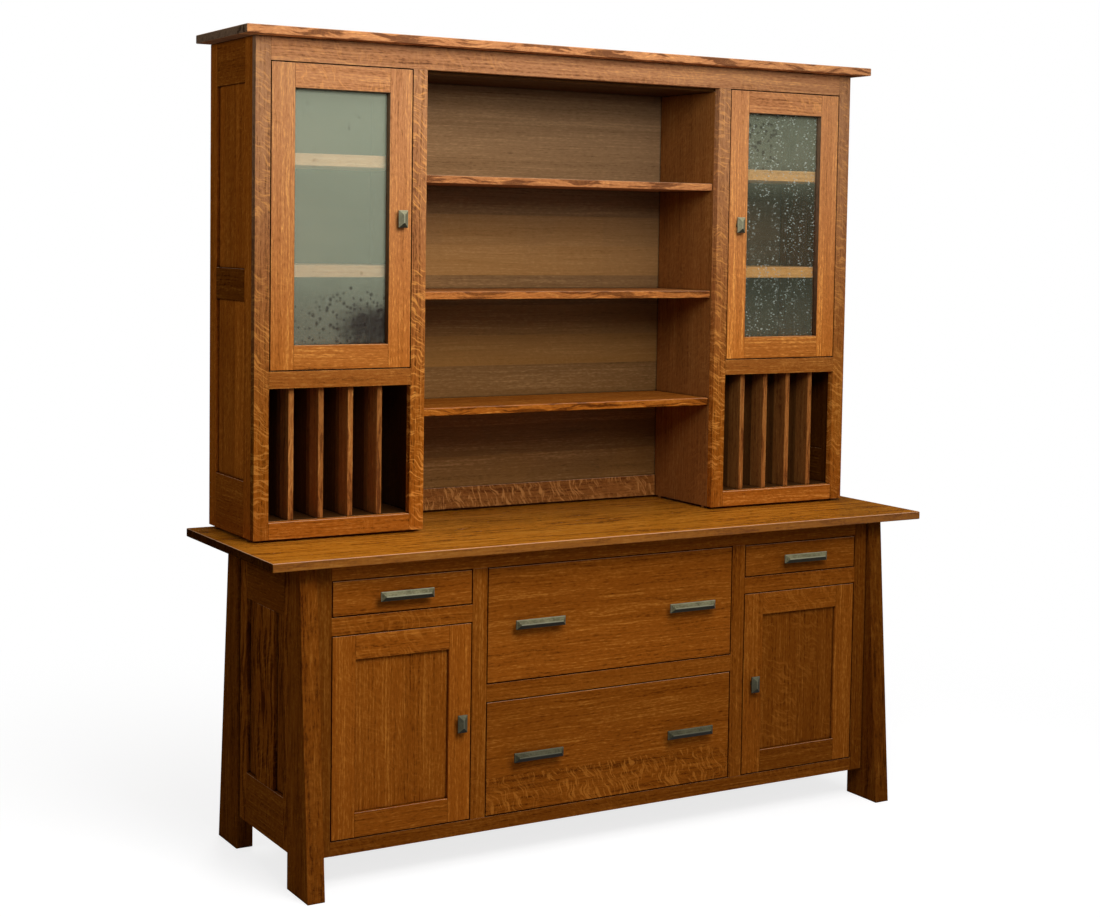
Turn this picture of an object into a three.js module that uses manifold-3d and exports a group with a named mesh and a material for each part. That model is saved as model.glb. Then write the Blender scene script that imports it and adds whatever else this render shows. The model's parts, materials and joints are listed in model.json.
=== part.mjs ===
// A dresser with a hutch, in quartersawn oak.
// A wide base cabinet on four flared legs holds two small drawers over panelled doors and two
// deep drawers between them. The hutch on its top has glass doors, letter racks and open shelves.
// Sizes are in millimetres. The origin is on the floor under the middle of the base.
// +X runs to the right, +Y to the back and +Z up, so the front of the dresser faces -Y.

import * as THREE from 'three';
import { ConvexGeometry } from 'three/addons/geometries/ConvexGeometry.js';
import { mergeVertices } from 'three/addons/utils/BufferGeometryUtils.js';
import Module from 'manifold-3d';

const wasm = await Module();
wasm.setup();

// Overall sizes
const topWidth = 1828.8;
const topDepth = 541.5;
const topThickness = 20;
const baseHeight = 763.5;
const totalHeight = 1937;

// Stock and clearances
const stock = 20;
const boardThickness = 18;
const panelThickness = 6;
const panelHousing = 8;
const arris = 1;
const topArris = 2;
const fit = 0.3;
const overrun = 4;
const grid = 0.001;

// Legs, which flare towards the floor at the front and the back only
const legOverhang = 85.8;
const legWidth = 41.6;
const legSetback = 56.25;
const legDepthAtTop = 59.5;
const legDepthAtFloor = 118;

// Face frame of the base
const baseFrontSetback = 61;
const railUnderside = 77.2;
const baseBottomRail = 33.1;
const baseTopRail = 40.8;
const baseStile = 39;
const sideBay = 356.9;
const sideDrawerOpening = 83.6;
const railOverDoor = 40.9;
const lowerDrawerOpening = 274.2;
const railBetweenDrawers = 41.3;

// Panelled sides of the base
const sideSetback = 7.4;
const sideStile = 43;
const sideMuntin = 106;
const sideBottomRail = 119;
const sideTopRail = 130;
const sideRecess = 10;

// Back and inside of the base
const baseBackThickness = 12;
const baseBackSetback = 86;
const guideHeight = 24;
const guideWidth = 13;
const runnerReach = 20;
const runClearance = 0.5;

// Hutch
const hutchSideSetback = 57.1;
const hutchDepth = 284.85;
const padHeight = 5.9;
const padRadius = 9;
const padInset = 22;
const crownSideOverhang = 37.2;
const crownOverhang = 40.5;
const crownThickness = 20;
const hutchOuterStile = 36.9;
const hutchInnerStile = 37.1;
const hutchBay = 359.9;
const rackBottomRail = 40.1;
const rackOpening = 308.3;
const railUnderGlass = 39.3;
const hutchTopRail = 53.9;
const ceilingDrop = 8;
const ceilingSetback = 6;

// Panelled sides of the hutch
const hutchSideStile = 43;
const hutchSideBottomRail = 130.6;
const hutchSideTopRail = 101;
const hutchSideMidRail = 74;
const hutchSideMidRailShare = 0.5085;
const hutchSideRecess = 8;

// Back of the hutch
const hutchBackSetback = 18;
const backRabbet = 9;
const backRailHeight = 55.8;
const backRailProud = 4;
const backRailLip = 8;

// Shelves, by the shares of the height from the base top to the ceiling at which they lie
const lowerShelfShare = 0.2682;
const middleShelfShare = 0.5257;
const upperShelfShare = 0.7813;
const centreShelfSetback = 3;
const lowerCabinetShelfShare = 0.5831;
const upperCabinetShelfShare = 0.819;
const cabinetShelfThickness = 28;
const cabinetShelfSetback = 8;

// Letter racks
const dividerCount = 4;
const dividerThickness = 13;
const dividerPitch = 75.2;
const dividerShift = 4.5;

// Doors
const doorThickness = 22;
const doorGap = 2;
const doorStile = 57.3;
const doorRail = 56;
const doorRecess = 9;
const glassRecess = 17.5;
const glassThickness = 3;
const pivotFromEdge = 9;
const pivotFromFront = 5;
const pivotRadius = 2.5;
const pivotReach = 8;
const pivotSides = 12;
const catchHeight = 60;
const catchDepth = 12;
const catchLap = 12;

// Drawers
const drawerSideThickness = 12;
const drawerBottomThickness = 6;
const drawerBottomRaise = 10;
const drawerHeadroom = 12;
const drawerBackGap = 12;
const tailLength = 14;
const tailFlare = 2;
const tailPitch = 36;
const tailShare = 0.62;

// Pulls and knobs
const pullLength = 134;
const pullHeight = 22;
const pullEdge = 5;
const pullRise = 7;
const pullStandoff = 17;
const pullPostRadius = 5;
const pullPostSpacing = 96;
const pullPlaceShare = 0.31;
const knobWidth = 24;
const knobHeight = 41;
const knobEdge = 5;
const knobRise = 6;
const knobStandoff = 11;
const knobPostRadius = 6;
const postSides = 16;

// Finishes
const oak = finish(0x8a4a1c, 0.42, 0);
const paleOak = finish(0xa8602c, 0.42, 0);
const darkOak = finish(0x5a2c10, 0.5, 0);
const drawerWood = finish(0xc49a63, 0.6, 0);
const pewter = finish(0x6f6f5c, 0.38, 0.85);
const seededGlass = new THREE.MeshStandardMaterial({
  color: 0x93a79c,
  roughness: 0.12,
  metalness: 0,
  transparent: true,
  opacity: 0.4,
});

function finish(color, roughness, metalness) {
  return new THREE.MeshStandardMaterial({ color, roughness, metalness, flatShading: true });
}

// Planes of the base
const topUnderside = baseHeight - topThickness;
const topFront = -topDepth / 2;
const topBack = topDepth / 2;
const legOuter = topWidth / 2 - legOverhang;
const legInner = legOuter - legWidth;
const legFace = topBack - legSetback - legDepthAtTop;
const baseFront = topFront + baseFrontSetback;
const baseFrameBack = baseFront + stock;
const baseBackRear = topBack - baseBackSetback + baseBackThickness;
const baseBackFront = baseBackRear - baseBackThickness;
const baseRailTop = railUnderside + baseBottomRail;
const drawersTop = topUnderside - baseTopRail;
const sideDrawerBottom = drawersTop - sideDrawerOpening;
const baseDoorTop = sideDrawerBottom - railOverDoor;
const lowerDrawerTop = baseRailTop + lowerDrawerOpening;
const upperDrawerBottom = lowerDrawerTop + railBetweenDrawers;
const sideBayOuter = legInner - baseStile;
const sideBayInner = sideBayOuter - sideBay;
const centreBayHalf = sideBayInner - baseStile;
const sideFrameOuter = legOuter - sideSetback;
const sideFrameInner = sideFrameOuter - stock;
const partitionInner = (centreBayHalf + sideBayInner - boardThickness) / 2;
const partitionOuter = partitionInner + boardThickness;

// Planes of the hutch
const hutchBottom = baseHeight + padHeight;
const hutchTop = totalHeight - crownThickness;
const hutchBack = topBack;
const hutchFront = hutchBack - hutchDepth;
const hutchFrameBack = hutchFront + stock;
const hutchOuter = topWidth / 2 - hutchSideSetback;
const hutchInner = hutchOuter - stock;
const hutchBayOuter = hutchOuter - hutchOuterStile;
const hutchBayInner = hutchBayOuter - hutchBay;
const hutchCentreHalf = hutchBayInner - hutchInnerStile;
const hutchPartitionOuter = hutchCentreHalf + boardThickness;
const rackBottom = hutchBottom + rackBottomRail;
const rackTop = rackBottom + rackOpening;
const glassDoorBottom = rackTop + railUnderGlass;
const glassDoorTop = hutchTop - hutchTopRail;
const ceilingUnderside = glassDoorTop - ceilingDrop;
const hutchPanelFront = hutchBack - hutchBackSetback;
const backRailFront = hutchPanelFront - backRailProud;
const backRailTop = hutchBottom + backRailHeight;

// Geometry helpers

// Puts every coordinate on a fine grid, so that faces meant to meet lie in one plane.
function snap(geometry) {
  const places = geometry.attributes.position;
  for (let i = 0; i < places.array.length; i += 1) {
    places.array[i] = Math.round(places.array[i] / grid) * grid;
  }
  return geometry;
}

// Keeps only the positions of a geometry and shares its corners between faces.
function weld(geometry) {
  const bare = new THREE.BufferGeometry();
  bare.setAttribute('position', geometry.attributes.position.clone());
  if (geometry.index) {
    bare.setIndex(geometry.index.clone());
  }
  return mergeVertices(snap(bare), grid / 2);
}

function toSolid(geometry) {
  const welded = weld(geometry);
  return new wasm.Manifold(new wasm.Mesh({
    numProp: 3,
    vertProperties: new Float32Array(welded.attributes.position.array),
    triVerts: new Uint32Array(welded.index.array),
  }));
}

function toGeometry(solid) {
  const mesh = solid.getMesh();
  const geometry = new THREE.BufferGeometry();
  geometry.setAttribute('position', new THREE.BufferAttribute(mesh.vertProperties, 3));
  geometry.setIndex(new THREE.BufferAttribute(mesh.triVerts, 1));
  return geometry;
}

function join(first, ...others) {
  return toGeometry(others.reduce((sum, other) => sum.add(toSolid(other)), toSolid(first)));
}

function cut(first, ...others) {
  return toGeometry(others.reduce((rest, other) => rest.subtract(toSolid(other)), toSolid(first)));
}

// A plain block between two corners, which may be given in any order.
function block(x0, x1, y0, y1, z0, z1) {
  const size = [Math.abs(x1 - x0), Math.abs(y1 - y0), Math.abs(z1 - z0)];
  return new THREE.BoxGeometry(...size).translate((x0 + x1) / 2, (y0 + y1) / 2, (z0 + z1) / 2);
}

function outline(points) {
  return new THREE.Shape(points.map(([u, v]) => new THREE.Vector2(u, v)));
}

function rectangle(u0, u1, v0, v1) {
  return [[u0, v0], [u1, v0], [u1, v1], [u0, v1]];
}

// The directions of an outline's two coordinates and of its extrusion, for each axis.
const right = new THREE.Vector3(1, 0, 0);
const back = new THREE.Vector3(0, 1, 0);
const up = new THREE.Vector3(0, 0, 1);
const bases = {
  x: new THREE.Matrix4().makeBasis(back, up, right),
  y: new THREE.Matrix4().makeBasis(right, up, back.clone().negate()),
  z: new THREE.Matrix4().makeBasis(right, back, up),
};

// Carries an outline along one axis from one plane to another. Its two ends are chamfered:
// the ends are narrower than the outline where inset is true, or else the middle is wider.
function sweep(axis, from, to, points, ease, inset) {
  const geometry = new THREE.ExtrudeGeometry(outline(points), {
    depth: to - from - 2 * ease,
    bevelEnabled: ease > 0,
    bevelThickness: ease,
    bevelSize: ease,
    bevelOffset: inset ? -ease : 0,
    bevelSegments: 1,
  });
  geometry.translate(0, 0, ease).applyMatrix4(bases[axis]);
  const start = axis === 'y' ? to : from;
  return geometry.translate(...{ x: [start, 0, 0], y: [0, start, 0], z: [0, 0, start] }[axis]);
}

// The cutters for an opening right through a slab, flared at both faces to ease its arrises.
function openingCutters(axis, from, to, points, ease) {
  const through = sweep(axis, from - overrun, to + overrun, points, 0, false);
  if (ease === 0) {
    return [through];
  }
  return [
    through,
    sweep(axis, from - overrun, from + ease, points, ease, false),
    sweep(axis, to - ease, to + overrun, points, ease, false),
  ];
}

// An outline with openings, carried along one axis, with the arrises of its faces eased.
function slab(axis, from, to, points, openings = [], ease = arris) {
  const body = sweep(axis, from, to, points, ease, true);
  const cutters = openings.flatMap((hole) => openingCutters(axis, from, to, hole, ease));
  return cutters.length > 0 ? cut(body, ...cutters) : body;
}

// A board between two corners with all its arrises eased.
function board(x0, x1, y0, y1, z0, z1, ease = arris) {
  const [left, rightEdge] = [Math.min(x0, x1), Math.max(x0, x1)];
  const points = [
    [left + ease, y0], [rightEdge - ease, y0], [rightEdge, y0 + ease], [rightEdge, y1 - ease],
    [rightEdge - ease, y1], [left + ease, y1], [left, y1 - ease], [left, y0 + ease],
  ];
  return slab('z', z0, z1, points, [], ease);
}

// A round pin or post along one axis, centred on a point.
function pin(axis, radius, length, sides, x, y, z) {
  const geometry = new THREE.CylinderGeometry(radius, radius, length, sides);
  if (axis === 'z') {
    geometry.rotateX(Math.PI / 2);
  }
  return geometry.translate(x, y, z);
}

const group = new THREE.Group();

function add(name, geometry, material) {
  const mesh = new THREE.Mesh(weld(geometry), material);
  mesh.name = name;
  group.add(mesh);
}

const sides = { left: -1, right: 1 };

// Legs: a straight inner face and an outer face that leans out to the floor
function addLegs() {
  const rows = { front: -1, back: 1 };
  for (const [row, way] of Object.entries(rows)) {
    const points = [
      [way * legFace, 0],
      [way * (legFace + legDepthAtFloor), 0],
      [way * (legFace + legDepthAtTop), topUnderside],
      [way * legFace, topUnderside],
    ];
    for (const [side, hand] of Object.entries(sides)) {
      const faces = [hand * legInner, hand * legOuter];
      add(`leg_${row}_${side}`, slab('x', Math.min(...faces), Math.max(...faces), points), oak);
    }
  }
}

// A side frame with a rebate on its inside, and the flat panel that lies in the rebate.
// The frame's openings are given in the side's own plane, by depth and height.
function addPanelledSide(name, hand, outerFace, recess, edge, openings, extras) {
  const innerFace = outerFace - stock;
  const shoulder = outerFace - recess;
  const low = (k) => Math.min(...openings.map((hole) => hole[0][k]));
  const high = (k) => Math.max(...openings.map((hole) => hole[2][k]));
  const lap = panelHousing;
  const faces = [hand * innerFace, hand * outerFace];
  const frame = slab('x', Math.min(...faces), Math.max(...faces), edge, openings);
  const rebate = block(
    hand * (innerFace - overrun), hand * shoulder,
    low(0) - lap, high(0) + lap, low(1) - lap, high(1) + lap,
  );
  add(`${name}_frame`, join(cut(frame, rebate, ...extras.cuts), ...extras.joins), darkOak);
  const panelLap = lap - fit;
  add(`${name}_panel`, block(
    hand * (shoulder - fit - panelThickness), hand * (shoulder - fit),
    low(0) - panelLap, high(0) + panelLap, low(1) - panelLap, high(1) + panelLap,
  ), darkOak);
}

// The side of the base, between two legs, has two narrow recesses beside a wide middle member.
function addBaseSides() {
  const bottom = railUnderside + sideBottomRail;
  const top = topUnderside - sideTopRail;
  const openings = [-1, 1].map((way) => {
    const ends = [way * sideMuntin / 2, way * (legFace - sideStile)];
    return rectangle(Math.min(...ends), Math.max(...ends), bottom, top);
  });
  const outlinePoints = rectangle(-legFace, legFace, railUnderside, topUnderside);
  for (const [side, hand] of Object.entries(sides)) {
    const extras = { cuts: [], joins: [] };
    const name = `base_side_${side}`;
    addPanelledSide(name, hand, sideFrameOuter, sideRecess, outlinePoints, openings, extras);
  }
}

// Pivot pins stand in the top and bottom edges of each door, near its hinge edge.
function pivotPlaces(door) {
  const x = door.hand * (door.outer - doorGap - pivotFromEdge);
  return { x, y: door.front + pivotFromFront };
}

function pivotHoles(doors) {
  const depth = pivotReach + fit;
  return doors.flatMap((door) => {
    const { x, y } = pivotPlaces(door);
    const centres = [door.bottom - depth / 2, door.top + depth / 2];
    return centres.map((z) => pin('z', pivotRadius + fit, depth + overrun, pivotSides, x, y, z));
  });
}

const baseDoors = Object.entries(sides).map(([side, hand]) => ({
  name: `base_door_${side}`,
  hand,
  inner: sideBayInner,
  outer: sideBayOuter,
  bottom: baseRailTop,
  top: baseDoorTop,
  front: baseFront,
}));

const glassDoors = Object.entries(sides).map(([side, hand]) => ({
  name: `hutch_door_${side}`,
  hand,
  inner: hutchBayInner,
  outer: hutchBayOuter,
  bottom: glassDoorBottom,
  top: glassDoorTop,
  front: hutchFront,
}));

// Opening between two distances from the middle, on either side
function sideOpening(hand, inner, outer, bottom, top) {
  const ends = [hand * inner, hand * outer];
  return rectangle(Math.min(...ends), Math.max(...ends), bottom, top);
}

function addBaseFaceFrame() {
  const openings = Object.values(sides).flatMap((hand) => [
    sideOpening(hand, sideBayInner, sideBayOuter, baseRailTop, baseDoorTop),
    sideOpening(hand, sideBayInner, sideBayOuter, sideDrawerBottom, drawersTop),
  ]);
  openings.push(rectangle(-centreBayHalf, centreBayHalf, baseRailTop, lowerDrawerTop));
  openings.push(rectangle(-centreBayHalf, centreBayHalf, upperDrawerBottom, drawersTop));
  const edge = rectangle(-legInner, legInner, railUnderside, topUnderside);
  const frame = slab('y', baseFront, baseFrameBack, edge, openings);
  add('base_face_frame', cut(frame, ...pivotHoles(baseDoors)), oak);
}

// The cabinet floor is notched round the legs.
function addBaseFloor() {
  const corner = (hand) => [
    [hand * legInner, baseFrameBack], [hand * legInner, -legFace],
    [hand * sideFrameInner, -legFace], [hand * sideFrameInner, legFace],
    [hand * legInner, legFace], [hand * legInner, baseBackFront],
  ];
  const points = [...corner(1), ...corner(-1).reverse()];
  add('base_floor', slab('z', baseRailTop - boardThickness, baseRailTop, points), darkOak);
}

// A small block on a partition that stops the door in line with the face frame.
function doorCatch(hand, wall, doorEdge, doorBack, middle) {
  return block(
    hand * (wall - arris), hand * (doorEdge + doorGap + catchLap),
    doorBack + fit, doorBack + fit + catchDepth,
    middle - catchHeight / 2, middle + catchHeight / 2,
  );
}

// A partition of the base, with the web and guides for the side drawer on its outer side
// and the runners for the two deep drawers on its inner side.
function addBasePartitions() {
  const guideProud = doorGap - runClearance;
  const sideGuideTop = sideDrawerBottom + guideHeight;
  const webBottom = sideDrawerBottom - boardThickness;
  const runnerTip = centreBayHalf - runnerReach;
  const guideTip = centreBayHalf - guideProud;
  const nearGuide = sideBayInner + guideProud;
  const farGuide = sideBayOuter - guideProud;
  const middle = (baseRailTop + baseDoorTop) / 2;
  for (const [side, hand] of Object.entries(sides)) {
    const points = [
      [partitionOuter, baseRailTop],
      [partitionOuter, webBottom], [legInner, webBottom],
      [legInner, sideDrawerBottom], [farGuide + guideWidth, sideDrawerBottom],
      [farGuide + guideWidth, sideGuideTop], [farGuide, sideGuideTop], [farGuide, sideDrawerBottom],
      [nearGuide, sideDrawerBottom], [nearGuide, sideGuideTop], [partitionOuter, sideGuideTop],
      [partitionOuter, topUnderside], [partitionInner, topUnderside],
      [partitionInner, upperDrawerBottom + guideHeight], [guideTip, upperDrawerBottom + guideHeight],
      [guideTip, upperDrawerBottom], [runnerTip, upperDrawerBottom],
      [runnerTip, upperDrawerBottom - boardThickness],
      [partitionInner, upperDrawerBottom - boardThickness],
      [partitionInner, baseRailTop + guideHeight], [guideTip, baseRailTop + guideHeight],
      [guideTip, baseRailTop],
    ].map(([x, z]) => [hand * x, z]);
    const carcass = slab('y', baseFrameBack, baseBackFront, points, [], 0);
    const stop = doorCatch(hand, partitionOuter, sideBayInner, baseFront + doorThickness, middle);
    add(`base_partition_${side}`, join(carcass, stop), darkOak);
  }
}

function addBase() {
  const half = topWidth / 2;
  add('base_top', board(-half, half, topFront, topBack, topUnderside, baseHeight, topArris), oak);
  addLegs();
  addBaseSides();
  addBaseFaceFrame();
  addBaseFloor();
  addBasePartitions();
  const backFaces = [baseBackFront, baseBackRear];
  add('base_back', block(-legInner, legInner, ...backFaces, railUnderside, topUnderside), darkOak);
}

// The hutch stands on short round pads under its sides and partitions.
function pads(x) {
  const rows = [hutchFrameBack + padInset, hutchBack - hutchBackSetback - padInset];
  const middle = baseHeight + (padHeight + arris) / 2;
  return rows.map((y) => pin('z', padRadius, padHeight + arris, postSides, x, y, middle));
}

function addHutchSides() {
  const front = hutchFrameBack + hutchSideStile;
  const rear = hutchBack - hutchSideStile;
  const bottom = hutchBottom + hutchSideBottomRail;
  const top = hutchTop - hutchSideTopRail;
  const middle = hutchBottom + (hutchTop - hutchBottom) * hutchSideMidRailShare;
  const midBottom = middle - hutchSideMidRail / 2;
  const midTop = middle + hutchSideMidRail / 2;
  const openings = [rectangle(front, rear, bottom, midBottom), rectangle(front, rear, midTop, top)];
  const edge = rectangle(hutchFrameBack, hutchBack, hutchBottom, hutchTop);
  for (const [side, hand] of Object.entries(sides)) {
    const rabbet = block(
      hand * (hutchInner - overrun), hand * (hutchInner + backRabbet),
      hutchPanelFront - fit, hutchBack + overrun, hutchBottom - overrun, hutchTop + overrun,
    );
    const extras = { cuts: [rabbet], joins: pads(hand * (hutchInner + stock / 2)) };
    const name = `hutch_side_${side}`;
    addPanelledSide(name, hand, hutchOuter, hutchSideRecess, edge, openings, extras);
  }
}

// The face frame is open at its foot between the two cabinets.
function addHutchFaceFrame() {
  const openings = Object.values(sides).flatMap((hand) => [
    sideOpening(hand, hutchBayInner, hutchBayOuter, rackBottom, rackTop),
    sideOpening(hand, hutchBayInner, hutchBayOuter, glassDoorBottom, glassDoorTop),
  ]);
  const edge = [
    [-hutchOuter, hutchBottom], [-hutchCentreHalf, hutchBottom], [-hutchCentreHalf, glassDoorTop],
    [hutchCentreHalf, glassDoorTop], [hutchCentreHalf, hutchBottom], [hutchOuter, hutchBottom],
    [hutchOuter, hutchTop], [-hutchOuter, hutchTop],
  ];
  const frame = slab('y', hutchFront, hutchFrameBack, edge, openings);
  add('hutch_face_frame', cut(frame, ...pivotHoles(glassDoors)), oak);
}

function addHutchPartitions() {
  const middle = (glassDoorBottom + glassDoorTop) / 2;
  for (const [side, hand] of Object.entries(sides)) {
    const wall = block(
      hand * hutchCentreHalf, hand * hutchPartitionOuter,
      hutchFrameBack, hutchPanelFront - fit, hutchBottom, ceilingUnderside,
    );
    const doorBack = hutchFront + doorThickness;
    const stop = doorCatch(hand, hutchPartitionOuter, hutchBayInner, doorBack, middle);
    const feet = pads(hand * (hutchCentreHalf + boardThickness / 2));
    add(`hutch_partition_${side}`, join(wall, stop, ...feet), oak);
  }
}

// The back is one thin panel; between the partitions its foot stands in a grooved rail, whose
// rear lip reaches down to the top of the base and closes the gap that the pads leave.
function addHutchBack() {
  const edge = hutchInner + backRabbet - fit;
  const rear = hutchPanelFront + panelThickness;
  const foot = backRailTop - panelHousing + fit;
  const points = [
    [-edge, hutchBottom], [-hutchCentreHalf, hutchBottom], [-hutchCentreHalf, foot],
    [hutchCentreHalf, foot], [hutchCentreHalf, hutchBottom], [edge, hutchBottom],
    [edge, hutchTop], [-edge, hutchTop],
  ];
  add('hutch_back', slab('y', hutchPanelFront, rear, points, [], 0), oak);
  const railHalf = hutchCentreHalf - fit;
  const railBack = backRailFront + stock;
  const rail = board(-railHalf, railHalf, backRailFront, railBack, hutchBottom, backRailTop);
  const lip = block(
    -railHalf, railHalf, railBack - backRailLip, railBack, baseHeight + fit, hutchBottom + arris,
  );
  const groove = block(
    -hutchCentreHalf, hutchCentreHalf, hutchPanelFront - fit, rear + fit,
    backRailTop - panelHousing, backRailTop + overrun,
  );
  add('hutch_back_rail', cut(join(rail, lip), groove), oak);
}

function addShelves() {
  const rear = hutchPanelFront - fit;
  const half = hutchCentreHalf - fit;
  const front = hutchFrameBack + centreShelfSetback;
  const clearHeight = ceilingUnderside - baseHeight;
  const centreShares = {
    lower: lowerShelfShare,
    middle: middleShelfShare,
    upper: upperShelfShare,
  };
  for (const [level, share] of Object.entries(centreShares)) {
    const top = baseHeight + clearHeight * share;
    const shelf = board(-half, half, front, rear, top - boardThickness, top);
    add(`centre_shelf_${level}`, shelf, oak);
  }
  const cabinetShares = { lower: lowerCabinetShelfShare, upper: upperCabinetShelfShare };
  const cabinetFront = hutchFrameBack + cabinetShelfSetback;
  for (const [side, hand] of Object.entries(sides)) {
    const ends = [hand * (hutchPartitionOuter + fit), hand * (hutchInner - fit)];
    for (const [level, share] of Object.entries(cabinetShares)) {
      const top = baseHeight + clearHeight * share;
      const shelf = board(...ends, cabinetFront, rear, top - cabinetShelfThickness, top);
      add(`cabinet_shelf_${side}_${level}`, shelf, paleOak);
    }
  }
}

// A letter rack is a floor and a top board with thin dividers housed between them.
// Its end slots are closed by the partition and the side of the hutch.
function addLetterRacks() {
  const floorTop = rackBottom;
  const floorBottom = rackBottom - boardThickness;
  const roofTop = glassDoorBottom;
  const roofBottom = glassDoorBottom - boardThickness;
  const middle = (hutchBayInner + hutchBayOuter) / 2 + dividerShift;
  const first = middle - dividerPitch * (dividerCount - 1) / 2;
  const centres = Array.from({ length: dividerCount }, (_, i) => first + i * dividerPitch);
  const near = centres[0] - dividerThickness / 2;
  const far = centres[dividerCount - 1] + dividerThickness / 2;
  const inner = hutchPartitionOuter + fit;
  const outer = hutchInner - fit;
  for (const [side, hand] of Object.entries(sides)) {
    const points = [
      [inner, floorBottom], [outer, floorBottom], [outer, floorTop], [far, floorTop],
      [far, roofBottom], [outer, roofBottom], [outer, roofTop], [inner, roofTop],
      [inner, roofBottom], [near, roofBottom], [near, floorTop], [inner, floorTop],
    ].map(([x, z]) => [hand * x, z]);
    const slots = centres.slice(1).map((centre, i) => {
      const start = centres[i] + dividerThickness / 2;
      return sideOpening(hand, start, centre - dividerThickness / 2, floorTop, roofBottom);
    });
    const rear = hutchPanelFront - fit;
    add(`letter_rack_${side}`, slab('y', hutchFrameBack, rear, points, slots, 0), oak);
  }
}

function addHutch() {
  const half = hutchOuter + crownSideOverhang;
  const crownFront = hutchFront - crownOverhang;
  add('crown', board(-half, half, crownFront, hutchBack, hutchTop, totalHeight, topArris), oak);
  addHutchSides();
  addHutchFaceFrame();
  addHutchPartitions();
  addHutchBack();
  const ceiling = block(
    -hutchInner, hutchInner, hutchFrameBack + ceilingSetback, hutchPanelFront - fit,
    ceilingUnderside, ceilingUnderside + boardThickness,
  );
  add('hutch_ceiling', ceiling, darkOak);
  addShelves();
  addLetterRacks();
}

// A bar or knob with four sloping faces that meet in a ridge along its longer side.
// It faces -Y, with its back in the plane y = 0.
function ridgedBar(width, height, edge, rise) {
  const run = Math.min(width, height) / 2;
  const ridgeX = width / 2 - run;
  const ridgeZ = height / 2 - run;
  const corners = rectangle(-width / 2, width / 2, -height / 2, height / 2);
  const points = corners.flatMap(([x, z]) => [
    new THREE.Vector3(x, 0, z),
    new THREE.Vector3(x, -edge, z),
  ]);
  points.push(new THREE.Vector3(-ridgeX, -edge - rise, -ridgeZ));
  points.push(new THREE.Vector3(ridgeX, -edge - rise, ridgeZ));
  return new ConvexGeometry(points);
}

function addPull(name, x, front, z) {
  const face = front - fit;
  const length = pullStandoff + arris;
  const posts = [-1, 1].map((way) => {
    const postX = x + way * pullPostSpacing / 2;
    return pin('y', pullPostRadius, length, postSides, postX, face - length / 2, z);
  });
  const bar = ridgedBar(pullLength, pullHeight, pullEdge, pullRise);
  add(name, join(bar.translate(x, face - pullStandoff, z), ...posts), pewter);
}

function addKnob(name, x, front, z) {
  const face = front - fit;
  const length = knobStandoff + arris;
  const post = pin('y', knobPostRadius, length, postSides, x, face - length / 2, z);
  const head = ridgedBar(knobWidth, knobHeight, knobEdge, knobRise);
  add(name, join(head.translate(x, face - knobStandoff, z), post), pewter);
}

// A door frame with its filling: a panel in a groove, or a pane in a rebate open to the back.
function addDoor(door, filling) {
  const { hand } = door;
  const rear = door.front + doorThickness;
  const inner = door.inner + doorGap;
  const outer = door.outer - doorGap;
  const bottom = door.bottom + doorGap;
  const top = door.top - doorGap;
  const [lightInner, lightOuter] = [inner + doorStile, outer - doorStile];
  const [lightBottom, lightTop] = [bottom + doorRail, top - doorRail];
  const edge = sideOpening(hand, inner, outer, bottom, top);
  const light = sideOpening(hand, lightInner, lightOuter, lightBottom, lightTop);
  const frame = slab('y', door.front, rear, edge, [light]);
  const face = door.front + filling.recess;
  const housingBack = filling.openBack ? rear + overrun : face + filling.thickness + fit;
  const housing = (lap, front, back) => block(
    hand * (lightInner - lap), hand * (lightOuter + lap), front, back,
    lightBottom - lap, lightTop + lap,
  );
  const pivot = pivotPlaces(door);
  const length = pivotReach + arris;
  const centres = [bottom - length / 2 + arris, top + length / 2 - arris];
  const pins = centres.map((z) => pin('z', pivotRadius, length, pivotSides, pivot.x, pivot.y, z));
  const housed = cut(frame, housing(panelHousing, face - fit, housingBack));
  add(`${door.name}_frame`, join(housed, ...pins), filling.frameFinish);
  const body = housing(panelHousing - fit, face, face + filling.thickness);
  add(`${door.name}_${filling.name}`, body, filling.finish);
  const knobX = hand * (inner + doorStile / 2);
  addKnob(`${door.name}_knob`, knobX, door.front, (bottom + top) / 2);
}

function addDoors() {
  for (const door of baseDoors) {
    addDoor(door, {
      name: 'panel',
      recess: doorRecess,
      thickness: panelThickness,
      openBack: false,
      frameFinish: oak,
      finish: oak,
    });
  }
  for (const door of glassDoors) {
    addDoor(door, {
      name: 'glass',
      recess: glassRecess,
      thickness: glassThickness,
      openBack: true,
      frameFinish: paleOak,
      finish: seededGlass,
    });
  }
}

// The tails on the front end of one side of a drawer, or with a clearance all round them the
// sockets for them in its front: half-blind dovetails, wider at their tips than at their roots.
function dovetails(x0, x1, boxFront, boxBottom, boxTop, clearance) {
  const count = Math.round((boxTop - boxBottom) / tailPitch);
  const pitch = (boxTop - boxBottom) / count;
  const tip = pitch * tailShare / 2 + clearance;
  const root = tip - tailFlare;
  const tipFace = boxFront - tailLength - clearance;
  return Array.from({ length: count }, (_, i) => {
    const middle = boxBottom + pitch / 2 + i * pitch;
    return sweep('x', x0, x1, [
      [boxFront + arris, middle - root], [boxFront + arris, middle + root],
      [boxFront, middle + root], [tipFace, middle + tip],
      [tipFace, middle - tip], [boxFront, middle - root],
    ], 0, true);
  });
}

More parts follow.
